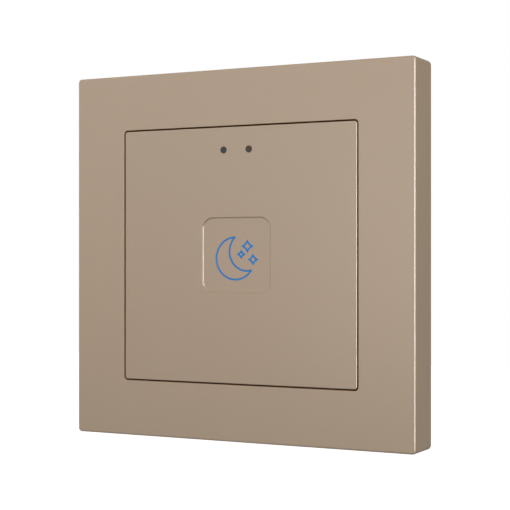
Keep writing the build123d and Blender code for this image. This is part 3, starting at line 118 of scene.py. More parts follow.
def moulded_skin_group():
    """Slow drift between two colours, and a fine grain that sets height and roughness."""
    inputs = [("Place", VECTOR, (0, 0, 0)), ("Colour", COLOUR, (1, 1, 1, 1)),
              ("Shade", COLOUR, (1, 1, 1, 1)), ("Grain", VALUE, 3000.0),
              ("Smoothest", VALUE, 0.4), ("Roughest", VALUE, 0.6)]
    group, entry, leave = start_group("moulded_skin", inputs, FINISH_OUTPUTS)
    drift = noise(group, entry.outputs["Place"], DRIFT_WAVES_IN_A_METRE)
    grain = noise(group, entry.outputs["Place"], entry.outputs["Grain"], detail=3.0)
    colour = blend_colours(group, drift, entry.outputs["Colour"], entry.outputs["Shade"])
    group.links.new(colour, leave.inputs["Colour"])
    rough = spread(group, grain, entry.outputs["Smoothest"], entry.outputs["Roughest"])
    group.links.new(rough, leave.inputs["Roughness"])
    group.links.new(grain, leave.inputs["Height"])
    return group


moulded_skin = moulded_skin_group()


def start_material(name):
    """A new material's node tree, its Principled shader and its Object coordinates."""
    material = bpy.data.materials.new(name)
    material.use_nodes = True
    tree = material.node_tree
    shader = tree.nodes["Principled BSDF"]
    return material, tree, shader, tree.nodes.new("ShaderNodeTexCoord").outputs["Object"]


def add_bump(tree, shader, height, distance):
    """Relief on the shader's normal from a height of 0 to 1 times a distance in metres."""
    bump = add_node(tree, "ShaderNodeBump", {"Height": height, "Distance": distance})
    tree.links.new(bump.outputs["Normal"], shader.inputs["Normal"])


def finish_from_group(tree, shader, group, sockets, relief):
    """A finish group's outputs joined to the shader, with its height as relief."""
    finish = add_node(tree, "ShaderNodeGroup", sockets, node_tree=group)
    tree.links.new(finish.outputs["Colour"], shader.inputs["Base Color"])
    tree.links.new(finish.outputs["Roughness"], shader.inputs["Roughness"])
    add_bump(tree, shader, finish.outputs["Height"], relief)
    return finish


def moulded_plastic(name, colour, shade, grain, smoothest, roughest, relief):
    """Plastic with the moulded skin; the relief is the depth of its grain in metres."""
    material, tree, shader, place = start_material(name)
    sockets = {"Place": place, "Colour": colour, "Shade": shade, "Grain": grain,
               "Smoothest": smoothest, "Roughest": roughest}
    finish_from_group(tree, shader, moulded_skin, sockets, relief)
    return material


def dress(material, *names):
    """Gives a material to CAD nodes."""
    for name in names:
        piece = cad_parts[name]
        for slot in piece.material_slots:
            slot.material = material
        if not piece.material_slots:
            piece.data.materials.append(material)


housing_plastic = moulded_plastic("grey_housing_plastic", HOUSING_GREY, HOUSING_SHADE, grain=3800.0,
                                  smoothest=0.46, roughest=0.64, relief=0.03 * MM)
dress(housing_plastic, "insert_housing", "insert_cover")


# Power board
# Glass laminate with green solder mask over copper tracks. It stands on posts in the
# insert and carries the mains parts; tinned pads show where the mask is left open.
MASK_GREEN = (0.012, 0.085, 0.04, 1)
TRACK_GREEN = (0.022, 0.135, 0.06, 1)
PAD_TIN = (0.42, 0.42, 0.40, 1)
TRACKS_IN_A_METRE = 1100.0
TRACK_SHARE = 0.45
PADS_IN_A_METRE = 1000.0 / 2.54
PAD_R_SHARE = 0.22
CELLS_IN_A_METRE = 160.0
CELLS_BARE, CELLS_WITHOUT_PADS = 0.35, 0.72
MASK_ROUGHNESS, PAD_ROUGHNESS = 0.28, 0.42
BOARD_RELIEF = 0.035 * MM


def calculate(tree, operation, *values):
    """The value of a Math node."""
    return add_node(tree, "ShaderNodeMath", dict(enumerate(values)), operation=operation).outputs[0]


def repeat_within(tree, value, count):
    """How far a coordinate is through its repeat, from 0 to 1."""
    return calculate(tree, "FRACT", calculate(tree, "MULTIPLY", value, count))


def circuit_tracks_group():
    """Runs of parallel tracks that turn from cell to cell, and a scatter of tinned pads."""
    inputs = [("Place", VECTOR, (0, 0, 0)), ("Mask", COLOUR, MASK_GREEN),
              ("Track", COLOUR, TRACK_GREEN), ("Pad", COLOUR, PAD_TIN)]
    outputs = FINISH_OUTPUTS + [("Metal", VALUE)]
    group, entry, leave = start_group("circuit_tracks", inputs, outputs)
    place = entry.outputs["Place"]
    axes = add_node(group, "ShaderNodeSeparateXYZ", {"Vector": place})
    across, upright = axes.outputs["X"], axes.outputs["Z"]
    cells = add_node(group, "ShaderNodeTexVoronoi", {"Vector": place, "Scale": CELLS_IN_A_METRE},
                     distance="CHEBYCHEV").outputs["Color"]
    cell = add_node(group, "ShaderNodeSeparateColor", {"Color": cells})
    rows = calculate(group, "LESS_THAN", repeat_within(group, upright, TRACKS_IN_A_METRE), TRACK_SHARE)
    columns = calculate(group, "LESS_THAN", repeat_within(group, across, TRACKS_IN_A_METRE), TRACK_SHARE)
    turned = calculate(group, "GREATER_THAN", cell.outputs["Red"], 0.5)
    straight = calculate(group, "SUBTRACT", 1.0, turned)
    runs = calculate(group, "ADD", calculate(group, "MULTIPLY", rows, turned),
                     calculate(group, "MULTIPLY", columns, straight))
    present = calculate(group, "GREATER_THAN", cell.outputs["Green"], CELLS_BARE)
    track = calculate(group, "MULTIPLY", runs, present)
    squares = []
    for axis in (across, upright):
        off = calculate(group, "SUBTRACT", repeat_within(group, axis, PADS_IN_A_METRE), 0.5)
        squares.append(calculate(group, "POWER", calculate(group, "ABSOLUTE", off), 2.0))
    distance = calculate(group, "SQRT", calculate(group, "ADD", *squares))
    dots = calculate(group, "LESS_THAN", distance, PAD_R_SHARE)
    padded = calculate(group, "GREATER_THAN", cell.outputs["Blue"], CELLS_WITHOUT_PADS)
    pad = calculate(group, "MULTIPLY", dots, padded)
    masked = blend_colours(group, track, entry.outputs["Mask"], entry.outputs["Track"])
    group.links.new(blend_colours(group, pad, masked, entry.outputs["Pad"]), leave.inputs["Colour"])
    group.links.new(spread(group, pad, MASK_ROUGHNESS, PAD_ROUGHNESS), leave.inputs["Roughness"])
    group.links.new(calculate(group, "MAXIMUM", track, pad), leave.inputs["Height"])
    group.links.new(pad, leave.inputs["Metal"])
    return group


def circuit_board_finish():
    """Solder mask over tracks, with open tinned pads."""
    material, tree, shader, place = start_material("board_green")
    finish = finish_from_group(tree, shader, circuit_tracks_group(), {"Place": place}, BOARD_RELIEF)
    tree.links.new(finish.outputs["Metal"], shader.inputs["Metallic"])
    shader.inputs["Coat Weight"].default_value = 0.3
    shader.inputs["Coat Roughness"].default_value = 0.15
    return material


board_green = circuit_board_finish()
dress(board_green, "power_circuit_board", "front_circuit_board", "radio_module")


# Plug-in link
# A black pin header on the power board and a black socket strip behind the front board.
# The square pins are brass, pressed through the header.
BLACK, BLACK_SHADE = (0.012, 0.012, 0.013, 1), (0.020, 0.020, 0.021, 1)
BRASS, BRASS_SHADE = (0.60, 0.42, 0.17, 1), (0.52, 0.34, 0.12, 1)
STREAKS_IN_A_METRE, METAL_DRIFT_IN_A_METRE = 1000.0, 250.0
METAL_RELIEF = 0.004 * MM


def worked_metal_group():
    """Fine streaks along one direction over a slow drift of colour, as rolling leaves them."""
    inputs = [("Place", VECTOR, (0, 0, 0)), ("Stretch", VECTOR, (1, 1, 1)),
              ("Colour", COLOUR, (1, 1, 1, 1)), ("Shade", COLOUR, (1, 1, 1, 1)),
              ("Smoothest", VALUE, 0.2), ("Roughest", VALUE, 0.4)]
    group, entry, leave = start_group("worked_metal", inputs, FINISH_OUTPUTS)
    stretched = add_node(group, "ShaderNodeVectorMath", {0: entry.outputs["Place"],
                         1: entry.outputs["Stretch"]}, operation="MULTIPLY").outputs["Vector"]
    streaks = noise(group, stretched, STREAKS_IN_A_METRE, detail=4.0)
    drift = noise(group, entry.outputs["Place"], METAL_DRIFT_IN_A_METRE)
    colour = blend_colours(group, drift, entry.outputs["Colour"], entry.outputs["Shade"])
    group.links.new(colour, leave.inputs["Colour"])
    rough = spread(group, streaks, entry.outputs["Smoothest"], entry.outputs["Roughest"])
    group.links.new(rough, leave.inputs["Roughness"])
    group.links.new(streaks, leave.inputs["Height"])
    return group


worked_metal = worked_metal_group()


def bare_metal(name, colour, shade, smoothest, roughest, stretch=(0.15, 1.0, 1.0)):
    """Metal with rolling or grinding streaks; they run along the axis stretched the least."""
    material, tree, shader, place = start_material(name)
    sockets = {"Place": place, "Stretch": stretch, "Colour": colour, "Shade": shade,
               "Smoothest": smoothest, "Roughest": roughest}
    finish_from_group(tree, shader, worked_metal, sockets, METAL_RELIEF)
    shader.inputs["Metallic"].default_value = 1.0
    return material


black_plastic = moulded_plastic("black_plastic", BLACK, BLACK_SHADE, grain=3000.0,
                                smoothest=0.34, roughest=0.52, relief=0.02 * MM)
brass = bare_metal("brass", BRASS, BRASS_SHADE, smoothest=0.20, roughest=0.36)
dress(black_plastic, "pin_header", "board_socket")
dress(brass, "header_pins")


# Relay
# A coil of enamelled copper on a white bobbin, an iron core and yoke with a tilting
# armature, and copper-alloy contacts, on a black base under a moulded blue cover.
BLUE_COVER, BLUE_SHADE = (0.018, 0.085, 0.30, 1), (0.014, 0.068, 0.25, 1)
IRON, IRON_SHADE = (0.40, 0.40, 0.40, 1), (0.33, 0.33, 0.335, 1)
WHITE, WHITE_SHADE = (0.78, 0.78, 0.755, 1), (0.72, 0.72, 0.69, 1)
COPPER, COPPER_SHADE = (0.50, 0.19, 0.085, 1), (0.42, 0.15, 0.065, 1)
WIRE_TURNS = 26
WIRE_STEPS = 6
WIRE_PROUD = 0.12 * MM
COIL_BORE_SHARE = 0.56


def mesh_object(name, points, faces):
    """A mesh object at the origin from a list of places and their faces."""
    mesh = bpy.data.meshes.new(name)
    mesh.from_pydata(points.tolist(), [], faces.tolist())
    piece = bpy.data.objects.new(name, mesh)
    bpy.context.collection.objects.link(piece)
    return piece


def ring_faces(rows, columns, close_rows=False):
    """Four-sided faces between rings of places, and from the last ring to the first if wanted."""
    row_count = rows if close_rows else rows - 1
    row, column = np.meshgrid(np.arange(row_count), np.arange(columns), indexing="ij")
    next_row, next_column = (row + 1) % rows, (column + 1) % columns
    corners = [row * columns + column, next_row * columns + column,
               next_row * columns + next_column, row * columns + next_column]
    return np.stack(corners, axis=-1).reshape(-1, 4)


def mesh_of_copies(name, copies, faces):
    """One mesh of several copies of a shape, each a row of places joined by the same faces."""
    starts = np.arange(len(copies))[:, None, None] * copies.shape[1]
    return mesh_object(name, copies.reshape(-1, 3), (faces + starts).reshape(-1, 4))


def turned_rings(name, centres, axis, profile, segments=64):
    """Closed rings turned about an axis: round each centre, a profile point (along, radius)
    goes by the angle a to along * axis + radius * (cos a, sin a) in the plane across it.

    The sum of cross products along the profile says which way it runs; the faces point out.
    """
    angle = np.linspace(0, 2 * np.pi, segments, endpoint=False)
    along = np.eye(3)[axis]
    first, second = np.eye(3)[(axis + 1) % 3], np.eye(3)[(axis + 2) % 3]
    spokes = np.cos(angle)[:, None] * first + np.sin(angle)[:, None] * second
    ring = profile[:, None, :1] * along + profile[:, None, 1:] * spokes[None]
    faces = ring_faces(len(profile), segments, close_rows=True)
    after = np.roll(profile, -1, axis=0)
    if (profile[:, 0] * after[:, 1] - after[:, 0] * profile[:, 1]).sum() < 0:
        faces = faces[:, ::-1]
    return mesh_of_copies(name, np.reshape(centres, (-1, 1, 3)) + ring.reshape(1, -1, 3), faces)


def wound_profile(low, high, inner, outer, turns):
    """Ring section with round turns outside: along each turn the radius is the outer one less
    the wire's height, plus that height times the square root of 1 - u squared, u from -1 to 1."""
    u = np.tile(np.linspace(-1, 1, WIRE_STEPS, endpoint=False), turns)
    along = low + (high - low) * (np.arange(len(u)) / len(u))
    radius = outer - WIRE_PROUD + WIRE_PROUD * np.sqrt(1 - u ** 2)
    outside = np.column_stack([along, radius])
    last = [[high, outer - WIRE_PROUD], [high, inner], [low, inner]]
    return np.vstack([outside, last])


def smooth(piece):
    """Shades a piece's faces smoothly."""
    piece.data.shade_smooth()
    return piece


def node_box(node):
    """A CAD node's lowest and highest corners at rest."""
    lowest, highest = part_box(node)
    return np.array(lowest), np.array(highest)


def wound_coil(name, node, axis, bore_share, turns):
    """A winding in the place of a CAD node: as long and as thick, with its turns showing."""
    lowest, highest = node_box(node)
    centre, half = (lowest + highest) / 2, (highest - lowest) / 2
    outer = half[(axis + 1) % 3]
    profile = wound_profile(-half[axis], half[axis], bore_share * outer, outer, turns)
    piece = turned_rings(name, [centre], axis, profile)
    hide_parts(node)
    return piece


white_plastic = moulded_plastic("white_plastic", WHITE, WHITE_SHADE, grain=2600.0,
                                smoothest=0.36, roughest=0.50, relief=0.015 * MM)
relay_blue = moulded_plastic("relay_blue", BLUE_COVER, BLUE_SHADE, grain=2600.0,
                             smoothest=0.26, roughest=0.38, relief=0.012 * MM)
iron = bare_metal("nickelled_iron", IRON, IRON_SHADE, smoothest=0.30, roughest=0.48)
copper = bare_metal("copper", COPPER, COPPER_SHADE, smoothest=0.22, roughest=0.36,
                    stretch=(1.0, 1.0, 0.2))
dress(relay_blue, "relay_cover")
dress(black_plastic, "relay_base")
dress(white_plastic, "relay_bobbin")
dress(iron, "relay_yoke", "relay_armature")
dress(copper, "relay_contact")
coil = smooth(wound_coil("relay_coil_turns", "relay_winding", 2, COIL_BORE_SHARE, WIRE_TURNS))
coil.data.materials.append(copper)
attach(coil, "switch_body")


# Transformer
# Two sintered ferrite halves round a winding in yellow polyester tape, on a footed
# former. The tape's overlapping turns leave fine lines along the core's direction.
FERRITE, FERRITE_SHADE = (0.040, 0.040, 0.043, 1), (0.062, 0.060, 0.060, 1)
TAPE, TAPE_SHADE = (0.72, 0.50, 0.045, 1), (0.64, 0.43, 0.035, 1)
TAPE_EDGE = (0.50, 0.31, 0.02, 1)
TAPE_EDGE_FROM = 0.86
TAPE_TURNS_IN_A_METRE = 520.0
TAPE_STEP = 0.05 * MM


def tape_finish():
    """Glossy tape with a thin step where each turn overlaps the last."""
    material, tree, shader, place = start_material("yellow_tape")
    sockets = {"Place": place, "Colour": TAPE, "Shade": TAPE_SHADE, "Grain": 900.0,
               "Smoothest": 0.22, "Roughest": 0.34}
    finish = add_node(tree, "ShaderNodeGroup", sockets, node_tree=moulded_skin)
    depth = add_node(tree, "ShaderNodeSeparateXYZ", {"Vector": place}).outputs["Y"]
    step = repeat_within(tree, depth, TAPE_TURNS_IN_A_METRE)
    edge = calculate(tree, "GREATER_THAN", step, TAPE_EDGE_FROM)
    colour = blend_colours(tree, edge, finish.outputs["Colour"], TAPE_EDGE)
    tree.links.new(colour, shader.inputs["Base Color"])
    tree.links.new(finish.outputs["Roughness"], shader.inputs["Roughness"])
    add_bump(tree, shader, step, TAPE_STEP)
    return material


ferrite = moulded_plastic("ferrite", FERRITE, FERRITE_SHADE, grain=5200.0,
                          smoothest=0.44, roughest=0.66, relief=0.03 * MM)
dress(ferrite, "transformer_core")
dress(tape_finish(), "transformer_winding")


# Capacitor, fuse, varistor and choke
# Standing parts soldered to the power board: a sleeved aluminium can with a pale stripe,
# a round black fuse, a blue epoxy-coated disc, and a drum choke wound with copper wire.
SLEEVE, SLEEVE_STRIPE = (0.018, 0.020, 0.034, 1), (0.50, 0.52, 0.54, 1)
CAN_TOP = (0.66, 0.66, 0.67, 1)
CAN_BARE_END = 0.25 * MM
STRIPE_REACH = 0.55
SLEEVE_GRAIN, SLEEVE_ROUGHNESS = 1800.0, (0.22, 0.34)
EPOXY, EPOXY_SHADE = (0.025, 0.13, 0.40, 1), (0.020, 0.11, 0.34, 1)
CHOKE_TURNS = 12
CHOKE_WAIST = 2.7 * MM
CHOKE_WOUND = 3.15 * MM
CHOKE_FLANGE = 2.0 * MM


def sleeved_can_finish():
    """Dark sleeve with a pale stripe on one side, and uncovered metal at the can's end."""
    material, tree, shader, place = start_material("capacitor_sleeve")
    lowest, highest = node_box("bulk_capacitor")
    middle = (lowest + highest) / 2
    reach = (highest[0] - lowest[0]) / 2
    axes = add_node(tree, "ShaderNodeSeparateXYZ", {"Vector": place})
    side = calculate(tree, "SUBTRACT", middle[2], axes.outputs["Z"])
    stripe = calculate(tree, "GREATER_THAN", side, STRIPE_REACH * reach)
    end = calculate(tree, "GREATER_THAN", axes.outputs["Y"], highest[1] - CAN_BARE_END)
    grain = noise(tree, place, SLEEVE_GRAIN)
    sleeve = blend_colours(tree, stripe, SLEEVE, SLEEVE_STRIPE)
    tree.links.new(blend_colours(tree, end, sleeve, CAN_TOP), shader.inputs["Base Color"])
    tree.links.new(end, shader.inputs["Metallic"])
    tree.links.new(spread(tree, grain, *SLEEVE_ROUGHNESS), shader.inputs["Roughness"])
    return material


epoxy = moulded_plastic("varistor_blue", EPOXY, EPOXY_SHADE, grain=700.0,
                        smoothest=0.20, roughest=0.34, relief=0.10 * MM)
dress(sleeved_can_finish(), "bulk_capacitor")
dress(black_plastic, "fuse")
dress(epoxy, "varistor")
dress(ferrite, "choke")
choke_low, choke_high = node_box("choke")
choke_middle = (choke_low + choke_high) / 2
choke_half = (choke_high[1] - choke_low[1]) / 2 - CHOKE_FLANGE
choke_section = wound_profile(-choke_half, choke_half, CHOKE_WAIST, CHOKE_WOUND, CHOKE_TURNS)
choke_turns = smooth(turned_rings("choke_turns", [choke_middle], 1, choke_section))
choke_turns.data.materials.append(copper)
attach(choke_turns, "switch_body")


# Solder joints
# The leads of the standing parts end in small bright cones of solder on the front of the
# power board, and the plug-in link's pins in the same kind of cones on its back.
SOLDER, SOLDER_SHADE = (0.54, 0.54, 0.55, 1), (0.45, 0.45, 0.47, 1)
JOINT_R = 0.85 * MM
JOINT_HEIGHT = 0.7 * MM
LEAD_TIP_R = 0.3 * MM
HOLLOW_R = 0.05 * MM
JOINT_STEPS = 7
PIN_COUNT, PIN_REACH = 8, 0.965
# Leads of each part, at shares of its half width and half height from its middle.
LEADS = {"relay_base": ((-0.7, -0.8), (0.7, -0.8), (-0.7, 0.15), (0.7, 0.15), (0, 0.8)),
         "transformer_winding": ((-0.8, -0.75), (-0.8, 0), (-0.8, 0.75), (0.8, -0.75), (0.8, 0.75)),
         "bulk_capacitor": ((-0.44, 0), (0.44, 0)), "fuse": ((-0.6, 0), (0.6, 0)),
         "varistor": ((-0.53, 0), (0.53, 0)), "choke": ((-0.7, 0), (0.7, 0))}


def joint_profile(way):
    """Section of a cone that points a way along the axis: from the tip to the rim its height
    falls as the square of the share of the radius that is left."""
    share = np.linspace(0, 1, JOINT_STEPS)
    height = way * JOINT_HEIGHT * (1 - share) ** 2
    radius = LEAD_TIP_R + (JOINT_R - LEAD_TIP_R) * share
    middle = [[0, HOLLOW_R], [way * JOINT_HEIGHT, HOLLOW_R]]
    return np.vstack([np.column_stack([height, radius]), middle])


def places_behind(node, shares, depth):
    """Places at a depth, at shares of a CAD node's half width and half height."""
    low, high = node_box(node)
    shares = np.array([(across, 0, up) for across, up in shares])
    places = (low + high) / 2 + shares * (high - low) / 2
    places[:, 1] = depth
    return places


board_low, board_high = node_box("power_circuit_board")
front_leads = np.vstack([places_behind(node, shares, board_low[1]) for node, shares in LEADS.items()])
pin_shares = np.column_stack([np.linspace(-PIN_REACH, PIN_REACH, PIN_COUNT), np.zeros(PIN_COUNT)])
solder = bare_metal("solder", SOLDER, SOLDER_SHADE, smoothest=0.16, roughest=0.30)
for label, leads, way in (("front", front_leads, -1),
                          ("back", places_behind("header_pins", pin_shares, board_high[1]), 1)):
    joints = smooth(turned_rings(f"solder_joints_{label}", leads, 1, joint_profile(way), segments=20))
    joints.data.materials.append(solder)
    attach(joints, "switch_body")


# Terminals
# Brass bars and rising brass cages in a light grey block; each cage hangs on a zinc-plated
# steel screw with a rolled right-hand thread and a cross recess.
BLOCK_GREY, BLOCK_SHADE = (0.42, 0.43, 0.43, 1), (0.37, 0.38, 0.38, 1)
ZINC, ZINC_SHADE = (0.50, 0.52, 0.54, 1), (0.40, 0.42, 0.45, 1)
SCREW_SHANK_R = 1.7 * MM
SCREW_HEAD = 1.4 * MM
THREAD_PITCH = 0.7 * MM
THREAD_PROUD = 0.09 * MM
THREAD_CLEAR = 0.3 * MM
THREAD_STEPS = 28
THREAD_SUNK = 0.3
THREAD_RIDGE = ((-0.42, -THREAD_SUNK), (-0.14, 0.9), (0.14, 0.9), (0.42, -THREAD_SUNK))
FADE_TURNS, FADE_LEAST = 0.5, 0.05


def tube_faces(rows, columns):
    """Faces of a tube of rings, its two ends closed by four-sided faces across them."""
    near = np.arange(columns // 2 - 1)
    cap = np.column_stack([near, near + 1, columns - 2 - near, columns - 1 - near])
    far = cap[:, ::-1] + (rows - 1) * columns
    return np.vstack([ring_faces(rows, columns), cap, far])


def screw_thread(name, place, start, length):
    """A rolled thread round a shank along Y: at the turn t the ridge is centred at start +
    pitch * t, at the angle 2 pi t from Z towards X, which is right-handed. Its section, of
    places in pitches and heights in ridges, fades nearly to nothing over the first and the
    last half turn."""
    turns = length / THREAD_PITCH
    count = int(turns * THREAD_STEPS)
    t = np.linspace(0, turns, count)
    angle = 2 * np.pi * t
    fade = np.clip(np.minimum(t, turns - t) / FADE_TURNS, FADE_LEAST, 1)[:, None]
    section = np.array(THREAD_RIDGE)
    along = start + THREAD_PITCH * (t[:, None] + section[:, 0] * fade)
    radius = SCREW_SHANK_R + THREAD_PROUD * (section[:, 1] * fade - THREAD_SUNK * (1 - fade))
    ridge = np.stack([radius * np.sin(angle)[:, None], along, radius * np.cos(angle)[:, None]], axis=-1)
    points = (place + ridge).reshape(-1, 3)
    return smooth(mesh_object(name, points, tube_faces(count, len(section))))


block_grey = moulded_plastic("light_grey_plastic", BLOCK_GREY, BLOCK_SHADE, grain=3000.0,
                             smoothest=0.42, roughest=0.58, relief=0.02 * MM)
zinc = bare_metal("zinc_steel", ZINC, ZINC_SHADE, smoothest=0.24, roughest=0.42,
                  stretch=(1.0, 1.0, 0.25))
dress(block_grey, "terminal_block")
dress(brass, "terminal_busbars")
for terminal in ("line", "neutral", "load"):
    dress(zinc, f"terminal_screw_{terminal}")
    dress(brass, f"terminal_clamp_{terminal}")
    low, high = node_box(f"terminal_screw_{terminal}")
    middle = (low + high) / 2 * (1, 0, 1)
    thread_length = high[1] - low[1] - SCREW_HEAD - 2 * THREAD_CLEAR
    thread = screw_thread(f"terminal_thread_{terminal}", middle, low[1] + THREAD_CLEAR, thread_length)
    thread.data.materials.append(zinc)
    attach(thread, f"screw_{terminal}")


# Support ring
# Pressed from sheet steel dipped in molten zinc, and screwed to the wall box and to the insert.
# The zinc has set in large flat crystals, each a little lighter or darker than the next.
SPANGLE_LIGHT, SPANGLE_DARK = (0.46, 0.475, 0.49, 1), (0.34, 0.36, 0.375, 1)
CRYSTALS_IN_A_METRE = 330.0
CRYSTAL_ROUGHNESS = (0.24, 0.44)
ZINC_GRAIN = 2600.0


def spangled_zinc():
    """Zinc with crystals a few millimetres wide."""
    material, tree, shader, place = start_material("spangled_zinc")
    sockets = {"Vector": place, "Scale": CRYSTALS_IN_A_METRE, "Randomness": 0.9}
    crystals = add_node(tree, "ShaderNodeTexVoronoi", sockets)
    shade = add_node(tree, "ShaderNodeSeparateColor", {"Color": crystals.outputs["Color"]})
    colour = blend_colours(tree, shade.outputs["Red"], SPANGLE_LIGHT, SPANGLE_DARK)
    tree.links.new(colour, shader.inputs["Base Color"])
    tree.links.new(spread(tree, shade.outputs["Green"], *CRYSTAL_ROUGHNESS), shader.inputs["Roughness"])
    add_bump(tree, shader, noise(tree, place, ZINC_GRAIN), METAL_RELIEF)
    shader.inputs["Metallic"].default_value = 1.0
    return material


dress(spangled_zinc(), "support_ring")
dress(zinc, "housing_screws")


# Module carrier
# The tray that clips to the ring and clamps the cover frame's lip: grey moulded plastic
# with posts for the front board and brackets for the key's pins.
CARRIER_GREY, CARRIER_SHADE = (0.36, 0.36, 0.355, 1), (0.31, 0.31, 0.305, 1)
carrier_plastic = moulded_plastic("carrier_plastic", CARRIER_GREY, CARRIER_SHADE, grain=3400.0,
                                  smoothest=0.42, roughest=0.60, relief=0.025 * MM)
dress(carrier_plastic, "module_carrier")


# Front board parts
# Small parts on the front board: lamps in a white shroud, light sensor, radio module under a
# tinned can, controller chip, push switches with white plungers, and four steel screws.
TIN, TIN_SHADE = (0.52, 0.52, 0.51, 1), (0.44, 0.44, 0.435, 1)
LAMP, LAMP_SHADE = (0.82, 0.78, 0.58, 1), (0.74, 0.69, 0.46, 1)
SENSOR, SENSOR_SHADE = (0.045, 0.042, 0.045, 1), (0.030, 0.030, 0.034, 1)
ACRYLIC_IOR = 1.49
RESIN_RELIEF = 0.004 * MM


def clear_resin(name, colour, shade, smoothest, roughest, clearness, shine=0.5):
    """Clear or tinted moulded resin: clearness is the share of light let through, and shine
    the specular level."""
    material, tree, shader, place = start_material(name)
    sockets = {"Place": place, "Colour": colour, "Shade": shade, "Grain": 1500.0,
               "Smoothest": smoothest, "Roughest": roughest}
    finish_from_group(tree, shader, moulded_skin, sockets, RESIN_RELIEF)
    shader.inputs["Transmission Weight"].default_value = clearness
    shader.inputs["IOR"].default_value = ACRYLIC_IOR
    shader.inputs["Specular IOR Level"].default_value = shine
    return material


tinned = bare_metal("tinned_can", TIN, TIN_SHADE, smoothest=0.22, roughest=0.38)
lamp_resin = clear_resin("lamp_resin", LAMP, LAMP_SHADE, smoothest=0.12, roughest=0.24, clearness=0.5)
smoked = clear_resin("smoked_window", SENSOR, SENSOR_SHADE,
                     smoothest=0.10, roughest=0.20, clearness=0.15)
dress(zinc, "board_screws")
dress(black_plastic, "tact_switch_bodies", "controller_chip")
dress(white_plastic, "tact_plunger_left", "tact_plunger_right", "light_shroud")
dress(lamp_resin, "symbol_leds", "status_led")
dress(smoked, "ambient_light_sensor")
dress(tinned, "radio_shield")


# Chip parts, chip legs and aerial
# Ceramic chip resistors and capacitors with tinned ends beside the larger parts of the
# front board, the controller's bent legs, and the radio module's printed copper aerial.
CERAMIC, CERAMIC_SHADE = (0.16, 0.10, 0.055, 1), (0.10, 0.075, 0.05, 1)
CERAMIC_MOTTLE, CERAMIC_GRAIN, CERAMIC_ROUGHNESS = 400.0, 4000.0, (0.25, 0.45)
CHIP_LENGTH, CHIP_WIDTH, CHIP_HEIGHT = 1.6 * MM, 0.8 * MM, 0.6 * MM
CHIP_BODY, CHIP_WAIST, CHIP_CORNER = 0.6, 0.88, 0.85
# Where chip parts lie along X and stand along Z: x and z in millimetres.
LYING = ((6.2, -12.2), (6.2, -14.0), (6.2, -15.8), (17.4, -12.6), (17.4, -14.4), (11.0, 5.4),
         (-11.0, 5.4), (0.0, 20.2), (-5.4, 17.4), (5.4, 17.4), (-16.0, 12.4), (-16.0, 10.6), (16.0, 11.5))
STANDING = ((10.0, -8.6), (11.9, -8.6), (13.8, -8.6), (-12.6, 16.0), (-10.8, 16.0), (10.8, 15.6),
            (9.4, -19.4), (12.4, -19.4), (-15.9, -7.4), (15.9, -6.2))
LEG_PITCH = 0.65 * MM
LEGS_A_SIDE = 8
LEG_WIDTH, LEG_SHEET = 0.26 * MM, 0.12 * MM
LEG_PATH = ((-0.15, 0.48), (0.22, 0.48), (0.42, 0.30), (0.56, 0.10), (0.95, 0.07))
AERIAL_TURNS = 3
AERIAL_WIDTH, AERIAL_THICK = 0.35 * MM, 0.035 * MM
AERIAL_MARGIN = 0.9 * MM


def chip_part_shape():
    """A lying chip part along X: eight-sided sections that swell at the two ends."""
    body, corner = CHIP_BODY, CHIP_CORNER
    along = np.array([-1, -body, -body, body, body, 1])[:, None] * CHIP_LENGTH / 2
    swell = np.array([1, 1, CHIP_WAIST, CHIP_WAIST, 1, 1])[:, None]
    side = np.array([-1, -corner, corner, 1, 1, corner, -corner, -1]) * CHIP_WIDTH / 2
    rise = np.array([corner, 1, 1, corner, -corner, -1, -1, -corner]) * CHIP_HEIGHT / 2
    depth = -CHIP_HEIGHT / 2 - rise * swell
    shape = np.stack(np.broadcast_arrays(along, depth, side * swell), axis=-1)
    return shape, tube_faces(len(along), len(side))


def chip_finish():
    """Brown ceramic between tinned ends; the ends are given by the mesh's own attribute."""
    material, tree, shader, place = start_material("chip_ceramic")
    ends = add_node(tree, "ShaderNodeAttribute", {}, attribute_name="tinned").outputs["Fac"]
    body = blend_colours(tree, noise(tree, place, CERAMIC_MOTTLE), CERAMIC, CERAMIC_SHADE)
    tree.links.new(blend_colours(tree, ends, body, TIN), shader.inputs["Base Color"])
    tree.links.new(ends, shader.inputs["Metallic"])
    rough = spread(tree, noise(tree, place, CERAMIC_GRAIN), *CERAMIC_ROUGHNESS)
    tree.links.new(rough, shader.inputs["Roughness"])
    return material


def chip_legs(middle, reach):
    """Legs on four sides of a case: a side's legs are bent strips of four-cornered sections
    that go out along X and down to the board, and each side is the one before, turned once."""
    path = np.array(LEG_PATH) * MM
    sheet = np.array([0.5, 0.5, -0.5, -0.5]) * LEG_SHEET
    width = np.array([-0.5, 0.5, 0.5, -0.5]) * LEG_WIDTH
    across = (np.arange(LEGS_A_SIDE) - (LEGS_A_SIDE - 1) / 2) * LEG_PITCH
    side = np.empty((LEGS_A_SIDE, len(path), 4, 3))
    side[..., 0] = reach + path[None, :, :1]
    side[..., 1] = -path[None, :, 1:] - sheet
    side[..., 2] = across[:, None, None] + width
    quarter = np.array([[0, 0, -1], [0, 1, 0], [1, 0, 0]])
    legs = np.concatenate([side @ np.linalg.matrix_power(quarter, turn).T for turn in range(4)])
    copies = middle + legs.reshape(len(legs), -1, 3)
    return mesh_of_copies("controller_legs", copies, tube_faces(len(path), 4))


